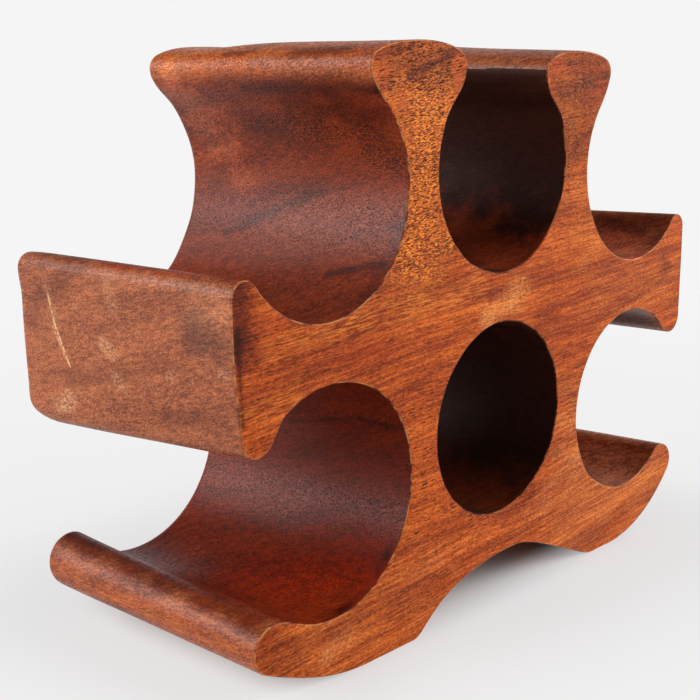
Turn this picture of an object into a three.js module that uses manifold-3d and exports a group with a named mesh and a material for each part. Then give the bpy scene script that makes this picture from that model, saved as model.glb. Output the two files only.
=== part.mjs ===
// Bottle rack for six bottles, carved from a blank that is glued up from boards with fluted dowels.
//
// Millimetres. +X runs to the right along the front, +Y goes back through the depth, and +Z is up.
// The origin is on the table, under the middle of the rack.

import * as THREE from "three";
import { mergeVertices } from "three/addons/utils/BufferGeometryUtils.js";
import Module from "manifold-3d";

const wasm = await Module();
wasm.setup();

// The bottle places and the wood between them
const RACK_DEPTH = 133;
const BORE_RADIUS = 50; // every bottle place but the closed one
const CLOSED_BORE_RADIUS = 48; // the lower middle place
const UPPER_POST_WAIST = 19; // narrowest width of the upper posts
const LOWER_POST_WAIST = 18.5;
const BASE_WEB = 28; // wood under the lower scoops
const BAND_WEB = 27.5; // wood between the lower and the upper scoops
const UPPER_MIDDLE_RISE = 3.5; // how far a middle place lies above the scoops beside it
const LOWER_MIDDLE_RISE = 14;

// The rounded tips that the scoops run out into
const HEAD_OUTER_TIP = 12;
const HEAD_INNER_TIP = 10;
const HORN_TIP = 7; // upper tip of an arm
const ARM_FOOT_TIP = 9; // lower tip of an arm
const LIP_TIP = 9.5;
const HORN_RISE = 20; // upper tip of an arm above the floor of its scoop
const HEAD_CROWN_TURN = 8; // degrees that the top of a head falls away towards each tip
const LIP_UNDER_TURN = 50; // degrees that the roll of a lip goes on below its widest point
const EDGE_ROUND = 1.5; // softened edge round the front and the back
const BACK_SPLAY = 6; // how much further the heads, arms and lips reach at the back

// The hand room under the base
const ARCH_RISE = 24;
const ARCH_SHIFT = 14; // how far right of the middle its crown lies
const ARCH_FOOT_PULL = 0.12; // share of the arch's run that stays low beside a foot

// The two sides were carved by eye, so each has its own sizes
const LEFT = {
  way: -1,
  headCap: 8.8, // head above the top of the scoop
  armHang: 20.5, // lower tip of the arm below the roof of the lower scoop
  armUndercut: 6, // lower tip of the arm set in from the upper one
  lipRise: 11, // lip above the floor of the lower scoop
  footInset: 21.5, // outer edge of the foot, in from the middle of the lower scoop
  footWidth: 31,
  archFullness: 0.77, // share of the arch's run that stays high beside its crown
};
const RIGHT = {
  way: 1,
  headCap: 4.8,
  armHang: 18.5,
  armUndercut: 2,
  lipRise: 17,
  footInset: 8.5,
  footWidth: 22,
  archFullness: 0.28,
};

// The glued joints
const GLUE_CLEAR = 3; // how far a glue line stays from the tips that it passes
const DOWEL_DIAMETER = 8;
const DOWEL_LENGTH = 40;
const DOWEL_SPACING = 72; // front dowel to rear dowel
const DOWEL_FIT = 0.3; // room round a dowel and beyond each of its ends
const DOWEL_CHAMFER = 0.8;
const FLUTE_COUNT = 10;
const FLUTE_DEPTH = 0.4;

// How the outline is drawn
const CHORD_ERROR = 0.1; // largest distance from a curve to its chords
const EASE_PULL = 0.4; // reach of an easing curve's handles, as a share of its span
const TIP_EASE = 15; // degrees of a tip that are given over to the easing curve beside it
const BORE_EASE = 6; // the same for a bore
const FLANK_EASE = 18; // the same for a lower scoop where it runs up to its arm
const EDGE_STEPS = 1;
const HOLE_SIDES = 12;
const CUT_MARGIN = 20; // how far a cutting box reaches past the wood

// Finishes of the oiled wood and of the dowels
const WOOD_FINISH = { color: 0x9c5630, roughness: 0.5, metalness: 0 };
const DOWEL_FINISH = { color: 0xd2b283, roughness: 0.7, metalness: 0 };

// Places that follow from the sizes above, outwards from the middle and up from the table
const closedBore = new THREE.Vector2(0, BASE_WEB + BORE_RADIUS + LOWER_MIDDLE_RISE);
const lowerBore = new THREE.Vector2(
  CLOSED_BORE_RADIUS + LOWER_POST_WAIST + BORE_RADIUS,
  BASE_WEB + BORE_RADIUS,
);
const upperBore = new THREE.Vector2(
  2 * BORE_RADIUS + UPPER_POST_WAIST,
  lowerBore.y + BORE_RADIUS + BAND_WEB + BORE_RADIUS,
);
const openBore = new THREE.Vector2(0, upperBore.y + UPPER_MIDDLE_RISE);
const lipTop = (hand) => lowerBore.y - BORE_RADIUS + hand.lipRise;
const armBottom = (hand) => lowerBore.y + BORE_RADIUS - hand.armHang;
const hornTop = upperBore.y - BORE_RADIUS + HORN_RISE;
const headTop = (hand) => upperBore.y + BORE_RADIUS + hand.headCap;

// Heights of the three glue lines
const BASE_LINE = Math.max(lipTop(LEFT), lipTop(RIGHT), closedBore.y - CLOSED_BORE_RADIUS) + GLUE_CLEAR;
const ARM_LINE = Math.min(armBottom(LEFT), armBottom(RIGHT)) - GLUE_CLEAR;
const HORN_LINE = hornTop + GLUE_CLEAR;

/** Direction from one point to another, in degrees. */
function aim(from, to) {
  return THREE.MathUtils.radToDeg(Math.atan2(to.y - from.y, to.x - from.x));
}

/** A round stretch of outline, clockwise where its angle falls. */
function arc(centre, radius, fromDegrees, toDegrees) {
  const from = THREE.MathUtils.degToRad(fromDegrees);
  const to = THREE.MathUtils.degToRad(toDegrees);
  return new THREE.EllipseCurve(centre.x, centre.y, radius, radius, from, to, to < from);
}

/** Centre of a tip at a given height that just touches a bore, on its outer (1) or inner (-1) side. */
function tipBeside(bore, tipRadius, height, side) {
  const apart = BORE_RADIUS + tipRadius;
  const across = Math.sqrt(apart ** 2 - (height - bore.y) ** 2);
  return new THREE.Vector2(bore.x + side * across, height);
}

/** A curve that leaves the end of one stretch and meets the start of the next along their tangents. */
function ease(before, after) {
  const start = before.getPoint(1);
  const end = after.getPoint(0);
  const pull = EASE_PULL * start.distanceTo(end);
  const leaving = start.clone().addScaledVector(before.getTangent(1), pull);
  const arriving = end.clone().addScaledVector(after.getTangent(0), -pull);
  return new THREE.CubicBezierCurve(start, leaving, arriving, end);
}

/** How far the handles of an easing curve stand off the straight line between its ends. */
function bendOf(curve) {
  const along = curve.v3.clone().sub(curve.v0).normalize();
  return Math.max(
    Math.abs(along.cross(curve.v1.clone().sub(curve.v0))),
    Math.abs(along.cross(curve.v2.clone().sub(curve.v0))),
  );
}

/** Points along a stretch, as many as its shape needs. */
function pointsAlong(curve) {
  if (curve.isEllipseCurve) {
    const chord = Math.sqrt(8 * curve.xRadius * CHORD_ERROR);
    return curve.getPoints(Math.ceil(curve.getLength() / chord));
  }
  const steps = curve.isCubicBezierCurve ? Math.ceil(Math.sqrt(bendOf(curve) / CHORD_ERROR)) : 1;
  return curve.getPoints(Math.max(steps, 1));
}

/** Round stretches of one side, from the floor of the open bore, out over head, arm and lip, to the foot. */
function sideStretches(hand) {
  const innerTip = tipBeside(openBore, HEAD_INNER_TIP, headTop(hand) - HEAD_INNER_TIP, 1);
  const outerTip = tipBeside(upperBore, HEAD_OUTER_TIP, headTop(hand) - HEAD_OUTER_TIP, -1);
  const horn = tipBeside(upperBore, HORN_TIP, hornTop - HORN_TIP, 1);
  const armFoot = new THREE.Vector2(horn.x - hand.armUndercut, armBottom(hand) + ARM_FOOT_TIP);
  const lip = tipBeside(lowerBore, LIP_TIP, lipTop(hand) - LIP_TIP, 1);
  const hornEnd = new THREE.Vector2(horn.x + HORN_TIP, horn.y);
  const footEnd = new THREE.Vector2(armFoot.x + ARM_FOOT_TIP, armFoot.y);
  const armLean = 2 * (90 + aim(hornEnd, footEnd)); // the arm's end is an even bow, upright at the horn
  const footOuter = lowerBore.x - hand.footInset;
  const footInner = footOuter - hand.footWidth;
  return [
    arc(openBore, BORE_RADIUS, -90, aim(openBore, innerTip) - BORE_EASE),
    arc(innerTip, HEAD_INNER_TIP, aim(innerTip, openBore) + 360 - TIP_EASE, 90 + HEAD_CROWN_TURN),
    arc(outerTip, HEAD_OUTER_TIP, 90 - HEAD_CROWN_TURN, aim(outerTip, upperBore) + TIP_EASE),
    arc(upperBore, BORE_RADIUS, aim(upperBore, outerTip) + BORE_EASE, aim(upperBore, horn) + 360 - BORE_EASE),
    arc(horn, HORN_TIP, aim(horn, upperBore) - TIP_EASE, 0),
    arc(armFoot, ARM_FOOT_TIP, armLean, aim(armFoot, lowerBore) + TIP_EASE),
    arc(lowerBore, BORE_RADIUS, aim(lowerBore, armFoot) + FLANK_EASE, aim(lowerBore, lip) + 360 - BORE_EASE),
    arc(lip, LIP_TIP, aim(lip, lowerBore) - TIP_EASE, -LIP_UNDER_TURN),
    new THREE.LineCurve(new THREE.Vector2(footOuter, 0), new THREE.Vector2(footInner, 0)),
  ];
}

/** Half of the arch: low beside the foot, then up to the crown. */
function halfArch(hand, foot) {
  const crown = new THREE.Vector2(hand.way * ARCH_SHIFT, ARCH_RISE);
  const run = foot.x - crown.x;
  const low = new THREE.Vector2(foot.x - ARCH_FOOT_PULL * run, foot.y);
  const high = new THREE.Vector2(crown.x + hand.archFullness * run, crown.y);
  return new THREE.CubicBezierCurve(foot, low, high, crown);
}

/** Outline of one side as points, in the rack's own left or right. */
function sideOutline(hand) {
  const stretches = sideStretches(hand);
  const joined = [stretches[0]];
  for (const stretch of stretches.slice(1)) {
    joined.push(ease(joined.at(-1), stretch), stretch);
  }
  joined.push(halfArch(hand, joined.at(-1).getPoint(1)));
  const points = joined.flatMap((curve, i) => pointsAlong(curve).slice(i ? 1 : 0));
  return points.map((point) => new THREE.Vector2(hand.way * point.x, point.y));
}

/** The whole front shape: down the left side, back up the right side, with the closed bore as a hole. */
function frontShape() {
  const down = sideOutline(LEFT);
  const up = sideOutline(RIGHT).reverse();
  const shape = new THREE.Shape([...down, ...up.slice(1, -1)]);
  const bore = pointsAlong(arc(closedBore, CLOSED_BORE_RADIUS, 0, 360));
  shape.holes.push(new THREE.Path(bore.slice(0, -1)));
  return shape;
}

/** The closed solid of a geometry, ready to be cut. */
function solidOf(geometry) {
  geometry.deleteAttribute("normal");
  geometry.deleteAttribute("uv");
  const merged = mergeVertices(geometry);
  return new wasm.Manifold(
    new wasm.Mesh({
      numProp: 3,
      vertProperties: merged.attributes.position.array,
      triVerts: new Uint32Array(merged.index.array),
    }),
  );
}

/** The geometry of a cut solid. */
function geometryOf(solid) {
  const { vertProperties, triVerts } = solid.getMesh();
  const geometry = new THREE.BufferGeometry();
  geometry.setAttribute("position", new THREE.BufferAttribute(new Float32Array(vertProperties), 3));
  geometry.setIndex(new THREE.BufferAttribute(new Uint32Array(triVerts), 1));
  geometry.computeVertexNormals();
  return geometry;
}

/** Spreads everything beyond the posts outwards towards the back. */
function splay(geometry) {
  const { position } = geometry.attributes;
  const postSide = upperBore.x - BORE_RADIUS;
  const fullFrom = upperBore.x - BORE_RADIUS / 2;
  for (let i = 0; i < position.count; i += 1) {
    const x = position.getX(i);
    const towardsBack = position.getY(i) / RACK_DEPTH + 0.5;
    const beyondPost = THREE.MathUtils.smoothstep(Math.abs(x), postSide, fullFrom);
    position.setX(i, x + Math.sign(x) * BACK_SPLAY * towardsBack * beyondPost);
  }
}

/** The carved blank before it is thought of as boards: the front shape carried through the depth. */
function carvedBlank() {
  const geometry = new THREE.ExtrudeGeometry(frontShape(), {
    depth: RACK_DEPTH - 2 * EDGE_ROUND,
    bevelThickness: EDGE_ROUND,
    bevelSize: EDGE_ROUND,
    bevelOffset: -EDGE_ROUND,
    bevelSegments: EDGE_STEPS,
  });
  geometry.rotateX(Math.PI / 2);
  geometry.translate(0, RACK_DEPTH / 2 - EDGE_ROUND, 0);
  splay(geometry);
  return solidOf(geometry);
}

const blank = carvedBlank();
const outer = blank.boundingBox();

/** What the blank holds between two heights and two places across. */
function boardBetween(low, high, left, right) {
  const box = new THREE.BoxGeometry(right - left, RACK_DEPTH + 2 * CUT_MARGIN, high - low);
  box.translate((left + right) / 2, 0, (low + high) / 2);
  return blank.intersect(solidOf(box));
}

/** A dowel hole on both sides of a glue line. */
function dowelHole(seat) {
  const length = DOWEL_LENGTH + 2 * DOWEL_FIT;
  const radius = DOWEL_DIAMETER / 2 + DOWEL_FIT;
  const hole = new THREE.CylinderGeometry(radius, radius, length, HOLE_SIDES);
  hole.rotateX(Math.PI / 2);
  hole.translate(seat.x, seat.y, seat.z);
  return solidOf(hole);
}

/** A fluted dowel with chamfered ends, standing on its middle. */
function dowelGeometry() {
  const radius = DOWEL_DIAMETER / 2;
  const points = Array.from({ length: 2 * FLUTE_COUNT }, (_, i) => {
    const reach = i % 2 ? radius - FLUTE_DEPTH : radius;
    const turn = (i * Math.PI) / FLUTE_COUNT;
    return new THREE.Vector2(reach * Math.cos(turn), reach * Math.sin(turn));
  });
  const geometry = new THREE.ExtrudeGeometry(new THREE.Shape(points), {
    depth: DOWEL_LENGTH - 2 * DOWEL_CHAMFER,
    bevelThickness: DOWEL_CHAMFER,
    bevelSize: DOWEL_CHAMFER,
    bevelOffset: -DOWEL_CHAMFER,
    bevelSegments: 1,
  });
  geometry.translate(0, 0, DOWEL_CHAMFER - DOWEL_LENGTH / 2);
  return geometry;
}

// Where the dowels stand: in the middle of each post's waist, a front one and a rear one in every joint
const lowerDowelX = CLOSED_BORE_RADIUS + LOWER_POST_WAIST / 2;
const upperDowelX = BORE_RADIUS + UPPER_POST_WAIST / 2;
const joints = [
  { name: "base", height: BASE_LINE, across: lowerDowelX },
  { name: "middle", height: ARM_LINE, across: lowerDowelX },
  { name: "upper", height: HORN_LINE, across: upperDowelX },
];
const sides = [
  { name: "left", way: LEFT.way },
  { name: "right", way: RIGHT.way },
];
const ends = [
  { name: "front", way: -1 },
  { name: "rear", way: 1 },
];
const dowelSeats = joints.flatMap((joint) =>
  sides.flatMap((side) =>
    ends.map((end) => ({
      name: `${joint.name}_${side.name}_${end.name}_dowel`,
      seat: new THREE.Vector3(side.way * joint.across, (end.way * DOWEL_SPACING) / 2, joint.height),
    })),
  ),
);

// The boards, each cut out of the blank at its glue lines
const farLeft = outer.min[0] - CUT_MARGIN;
const farRight = outer.max[0] + CUT_MARGIN;
const below = outer.min[2] - CUT_MARGIN;
const above = outer.max[2] + CUT_MARGIN;
const boards = {
  base_board: boardBetween(below, BASE_LINE, farLeft, farRight),
  lower_left_post: boardBetween(BASE_LINE, ARM_LINE, farLeft, 0),
  lower_right_post: boardBetween(BASE_LINE, ARM_LINE, 0, farRight),
  middle_board: boardBetween(ARM_LINE, HORN_LINE, farLeft, farRight),
  upper_left_post: boardBetween(HORN_LINE, above, farLeft, 0),
  upper_right_post: boardBetween(HORN_LINE, above, 0, farRight),
};

const rack = new THREE.Group();

const holes = dowelSeats.map(({ seat }) => dowelHole(seat));
for (const [name, board] of Object.entries(boards)) {
  const drilled = holes.reduce((wood, hole) => wood.subtract(hole), board);
  const mesh = new THREE.Mesh(geometryOf(drilled), new THREE.MeshStandardMaterial(WOOD_FINISH));
  mesh.name = name;
  rack.add(mesh);
}

for (const { name, seat } of dowelSeats) {
  const mesh = new THREE.Mesh(dowelGeometry(), new THREE.MeshStandardMaterial(DOWEL_FINISH));
  mesh.name = name;
  mesh.position.copy(seat);
  rack.add(mesh);
}

export default rack;
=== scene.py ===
"""Looks of the carved bottle rack: six oiled hardwood boards, lofted from its own sizes, and their dowels.

Sizes are in millimetres and become metres when a mesh is made. X runs to the right along the front, Y goes
back through the depth, and Z is up. A side's own outline is worked out outwards from the middle of the rack.
"""

import logging
import math
from abc import ABC, abstractmethod
from dataclasses import dataclass, replace
from enum import Enum
from itertools import product

import bmesh
import bpy
import numpy as np
from bpy.types import ID, Material, Mesh, Node, NodeOutputs, NodeSocket, NodeTree, Object, World
from mathutils import Matrix, Vector


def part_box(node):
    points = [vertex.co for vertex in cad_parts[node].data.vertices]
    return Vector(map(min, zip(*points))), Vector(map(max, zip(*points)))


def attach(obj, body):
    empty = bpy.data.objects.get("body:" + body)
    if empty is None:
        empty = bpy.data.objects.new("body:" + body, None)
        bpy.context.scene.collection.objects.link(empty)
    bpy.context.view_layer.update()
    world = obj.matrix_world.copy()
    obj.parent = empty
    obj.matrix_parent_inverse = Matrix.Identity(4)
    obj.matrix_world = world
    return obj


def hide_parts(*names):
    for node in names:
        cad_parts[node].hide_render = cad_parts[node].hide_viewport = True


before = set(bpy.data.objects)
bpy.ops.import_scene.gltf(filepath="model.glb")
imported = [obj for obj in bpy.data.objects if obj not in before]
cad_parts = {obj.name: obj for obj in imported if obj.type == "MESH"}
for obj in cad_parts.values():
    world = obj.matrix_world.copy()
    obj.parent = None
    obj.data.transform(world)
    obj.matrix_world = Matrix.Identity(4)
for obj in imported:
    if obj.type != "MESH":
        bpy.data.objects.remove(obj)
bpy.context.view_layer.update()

MM = 0.001
BODY = "root"
log = logging.getLogger("bottle_rack")

Colour = tuple[float, float, float]
Place = tuple[float, float, float]
Spot = tuple[float, float]
Array = np.ndarray


def linked(name: str, data: ID) -> Object:
    """Makes an object from its data and puts it into the scene.

    Args:
        name: The object's name.
        data: Its mesh, lamp or camera.

    Returns:
        The object.
    """
    made = bpy.data.objects.new(name, data)
    bpy.context.scene.collection.objects.link(made)
    return made


class Side(Enum):
    """The two sides of the rack, with the way that outwards points along X."""

    LEFT = -1
    RIGHT = 1

    @property
    def word(self) -> str:
        """The side's name as the nodes spell it."""
        return self.name.lower()

    def placed(self, edge: Array) -> Array:
        """Turns outwards into X along an edge."""
        return edge * np.array([self.value, 1.0])


class Surface(Enum):
    """The kinds of surface on a board, as the places of their materials."""

    FACE = 0
    WALL = 1
    BORE = 2
    JOINT = 3


# Layers through the depth


def eased_steps(count: int) -> Array:
    """Gives steps from 0 to 1 that are closer together near both ends, by half a cosine wave."""
    return (1 - np.cos(np.linspace(0, math.pi, count))) / 2


def smooth_step(value: Array) -> Array:
    """Gives a step from 0 to 1 that is level at both ends, by the cubic 3 s s - 2 s s s."""
    share = np.clip(value, 0, 1)
    return share**2 * (3 - 2 * share)


@dataclass(frozen=True)
class Layers:
    """The layers that a board is lofted through, from its front face to its back face, as columns.

    Attributes:
        depth: How far back each layer lies from the middle of the rack.
        inset: How far each layer's outline is drawn in by the rounded edges.
        share: 0 at the front face and 1 at the back face.
    """

    depth: Array
    inset: Array
    share: Array


@dataclass(frozen=True)
class Thickness:
    """How a board goes back: a crisp front edge, a straight wall and a softer back edge."""

    front_round: float = 0.7
    back_round: float = 4.5
    front_steps: int = 5
    wall_steps: int = 26
    back_steps: int = 9

    def layers(self, front: float, back: float) -> Layers:
        """Works out the layers: a quarter circle, a straight run and another quarter circle.

        On an edge of radius r and at a turn a, the inset is r (1 - sin a) and the depth is r (1 - cos a).

        Args:
            front: Depth of the front face.
            back: Depth of the back face.

        Returns:
            The layers from front to back.
        """
        rise = np.linspace(0, math.pi / 2, self.front_steps + 1)
        fall = np.linspace(math.pi / 2, 0, self.back_steps + 1)
        wall_front, wall_back = front + self.front_round, back - self.back_round
        wall = wall_front + (wall_back - wall_front) * eased_steps(self.wall_steps + 1)[1:-1]
        depth = np.concatenate([
            front + self.front_round * (1 - np.cos(rise)),
            wall,
            back - self.back_round * (1 - np.cos(fall)),
        ])
        inset = np.concatenate([
            self.front_round * (1 - np.sin(rise)),
            np.zeros_like(wall),
            self.back_round * (1 - np.sin(fall)),
        ])
        return Layers(depth[:, None], inset[:, None], (depth[:, None] - front) / (back - front))


@dataclass(frozen=True)
class Run:
    """A size that runs evenly from the front to the back, where a quarter circle may round it off.

    Attributes:
        front: The size at the front face.
        back: The size at the back face, before it is rounded off.
        corner: What the quarter circle adds at the very back.
        corner_share: Share of the depth that the quarter circle takes.
    """

    front: float
    back: float
    corner: float = 0
    corner_share: float = 0.14

    def on(self, layers: Layers) -> Array:
        """Gives the size on every layer, as a column."""
        even = self.front + (self.back - self.front) * layers.share
        near_back = np.clip(1 - (1 - layers.share) / self.corner_share, 0, 1)
        return even + self.corner * (1 - np.sqrt(1 - near_back**2))


# Curves of the outline, each worked out on every layer at once


def aim(from_x: Array, from_z: Array, to_x: Array, to_z: Array) -> Array:
    """Gives the angle from one point to another, in radians."""
    return np.arctan2(to_z - from_z, to_x - from_x)


@dataclass(frozen=True)
class Arc:
    """A round stretch of outline: its centre plus its radius times the cosine and sine of a turning angle.

    Attributes:
        x: How far out the centre lies.
        z: Height of the centre.
        radius: Radius of the arc, along X.
        start: Angle at the start.
        end: Angle at the end.
        squash: Height of the arc as a share of its width.
    """

    x: Array
    z: Array
    radius: Array
    start: Array
    end: Array
    squash: float = 1

    def point(self, angle: Array) -> Array:
        """Gives the points at some angles, outwards and up."""
        across, up = self.radius * np.cos(angle), self.squash * self.radius * np.sin(angle)
        return np.stack([self.x + across, self.z + up], axis=-1)

    def heading(self, angle: Array) -> Array:
        """Gives the direction of travel at some angles, on an arc that isn't squashed."""
        turn = np.sign(self.end - self.start) + 0 * self.radius
        return np.stack([-turn * np.sin(angle), turn * np.cos(angle)], axis=-1)

    def sample(self, count: int) -> Array:
        """Gives points from the start to the end of the arc."""
        return self.point(self.start + (self.end - self.start) * eased_steps(count))

    def back_to_front(self) -> "Arc":
        """Gives the same arc, travelled the other way."""
        return replace(self, start=self.end, end=self.start)

    def inner_angle(self, height: float) -> Array:
        """Gives the angle at which the side of a bore that faces the middle is at a height."""
        return math.pi - self.outer_angle(height)

    def outer_angle(self, height: float) -> Array:
        """Gives the angle at which the side of a bore that faces outwards is at a height."""
        return np.arcsin((height - self.z) / (self.squash * self.radius))


@dataclass(frozen=True)
class Ease:
    """A cubic curve with two handles, as columns of points."""

    start: Array
    leaving: Array
    arriving: Array
    end: Array

    PULL = 0.4

    @classmethod
    def between(cls, before: Arc, after: Arc, share: float = PULL) -> "Ease":
        """Leaves the end of one arc and meets the start of the next along their directions.

        Args:
            before: The arc that is left.
            after: The arc that is met.
            share: Length of the handles as a share of the span.

        Returns:
            The curve.
        """
        start = before.point(before.end)
        end = after.point(after.start)
        pull = share * np.linalg.norm(end - start, axis=-1, keepdims=True)
        return cls(
            start,
            start + pull * before.heading(before.end),
            end - pull * after.heading(after.start),
            end,
        )

    def sample(self, count: int, first: float = 0, last: float = 1) -> Array:
        """Gives points along the curve by the cubic formula, between two shares of its run.

        Args:
            count: How many points.
            first: Share of the run at the first point.
            last: Share of the run at the last point.

        Returns:
            The points on every layer, outwards and up.
        """
        share = (first + (last - first) * np.linspace(0, 1, count))[:, None]
        rest = 1 - share
        return (
            rest**3 * self.start
            + 3 * rest**2 * share * self.leaving
            + 3 * rest * share**2 * self.arriving
            + share**3 * self.end
        )


def straight(start: Array, end: Array, count: int) -> Array:
    """Gives evenly spaced points on every layer, from one column of points to another."""
    return start + (end - start) * np.linspace(0, 1, count)[:, None]


def chain(*stretches: Array) -> Array:
    """Joins stretches end to end, without repeating the points that they share."""
    return np.concatenate([stretches[0], *(stretch[:, 1:] for stretch in stretches[1:])], axis=1)


# Sizes of the rack


@dataclass(frozen=True)
class RackSizes:
    """Sizes that both sides of the rack share, and the heights of the glue lines."""

    base_line: float
    arm_line: float
    horn_line: float
    bore_radius: float = 50
    closed_bore_radius: float = 48
    closed_bore_squash: float = 0.965
    open_bore_radius: float = 48.7
    upper_post_waist: float = 19
    lower_post_waist: float = 18.5
    base_web: float = 28
    band_web: float = 27.5
    upper_middle_rise: float = 5.5
    lower_middle_rise: float = 14
    head_outer_tip: float = 7
    head_inner_tip: float = 8
    head_crown: float = 3
    head_crown_pull: float = 0.26
    horn_tip: float = 7
    arm_foot_tip: float = 9
    arch_rise: float = 24
    arch_shift: float = 14
    arch_foot_pull: float = 0.12
    back_splay: float = 6
    # How far a hollow's wall is darkened, partly by oil and partly as painted shade, and how far the bores'
    # painted shade reaches
    stain_rim: float = 6
    bore_skin: float = 4
    upper_stain: float = 0.85
    right_stain: float = 0.15
    right_calm: float = 0.7
    low_calm: float = 0.55
    band_calm: float = 0.35
    band_reach: float = 1.5
    head_crown_turn: float = math.radians(24)
    foot_ease: float = 0.28
    tip_ease: float = math.radians(15)
    arm_foot_ease: float = math.radians(36)
    head_tip_ease: float = math.radians(32)
    back_tip_ease: float = math.radians(50)
    inner_tip_ease: float = math.radians(40)
    bore_ease: float = math.radians(6)
    head_bore_ease: float = math.radians(15)
    back_bore_ease: float = math.radians(18)
    inner_bore_ease: float = math.radians(22)
    flank_ease: float = math.radians(18)

    @property
    def closed_bore(self) -> Spot:
        """Middle of the closed bore, outwards and up."""
        return 0, self.base_web + self.bore_radius + self.lower_middle_rise

    @property
    def lower_bore(self) -> Spot:
        """Middle of a lower scoop."""
        across = self.closed_bore_radius + self.lower_post_waist + self.bore_radius
        return across, self.base_web + self.bore_radius

    @property
    def upper_bore(self) -> Spot:
        """Middle of an upper scoop."""
        across = 2 * self.bore_radius + self.upper_post_waist
        return across, self.lower_bore[1] + self.band_web + 2 * self.bore_radius

    @property
    def open_bore(self) -> Spot:
        """Middle of the place between the heads."""
        return 0, self.upper_bore[1] + self.upper_middle_rise

    @property
    def glue_lines(self) -> Array:
        """Heights of the three glue lines."""
        return np.array([self.base_line, self.arm_line, self.horn_line])

    def stain_and_shade(self, points: Array) -> Array:
        """Gives how much the wood is darkened, partly by oil and partly as painted shade: most on a hollow's
        wall, and none past its rim.

        Args:
            points: Places in millimetres, one in each row.

        Returns:
            Values from 0 to 1.
        """
        found = [
            smooth_step(1 - self.from_wall(points, centre, radius) / self.stain_rim)
            for centre, radius in (
                (self.closed_bore, self.closed_bore_radius),
                (self.open_bore, self.open_bore_radius),
                (self.lower_bore, self.bore_radius),
                (self.upper_bore, self.bore_radius),
            )
        ]
        # Painted shade is less in the upper scoops and far less on the right, where more light falls
        shares = np.array([[1.0], [1.0], [1.0], [self.upper_stain]])
        return np.max(found * shares, axis=0) * np.where(points[:, 0] > 0, self.right_stain, 1)

    def calm(self, points: Array) -> Array:
        """Gives how closed the pores are: most on the right, some on base and band, none at the upper left.

        Args:
            points: Places in millimetres, one in each row.

        Returns:
            Values from 0 to 1.
        """
        right = smooth_step((points[:, 0] + self.bore_radius / 2) / (3 * self.bore_radius))
        low = smooth_step(1 - points[:, 2] / self.lower_bore[1])
        from_band = np.abs(points[:, 2] - (self.arm_line + self.horn_line) / 2)
        band = smooth_step(self.band_reach - from_band / self.band_web)
        return np.clip(self.right_calm * right + self.low_calm * low + self.band_calm * band, 0, 1)

    def in_bore(self, points: Array) -> Array:
        """Tells which points lie on the wall of one of the two middle bores."""
        closed = self.from_wall(points, self.closed_bore, self.closed_bore_radius)
        open_ended = self.from_wall(points, self.open_bore, self.open_bore_radius)
        return np.minimum(closed, open_ended) < self.bore_skin

    @staticmethod
    def from_wall(points: Array, centre: Spot, radius: float) -> Array:
        """Gives how far points lie from the wall of a hollow, into the wood."""
        return np.hypot(np.abs(points[:, 0]) - centre[0], points[:, 2] - centre[1]) - radius


@dataclass(frozen=True)
class SideSizes:
    """Sizes of one side, which was carved by eye, so that many of them run on towards the back."""

    side: Side
    head_cap: Run
    horn_rise: Run
    arm_hang: Run
    arm_undercut: Run
    arm_pull: Run
    lip_rise: Run
    lip_tip: Run
    lip_pull: Run
    lip_bore_ease: float
    lip_tip_ease: float
    lip_under_turn: float
    head_reach: Run
    head_inner_reach: float
    foot_inset: float
    foot_width: float
    arch_fullness: float


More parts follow.
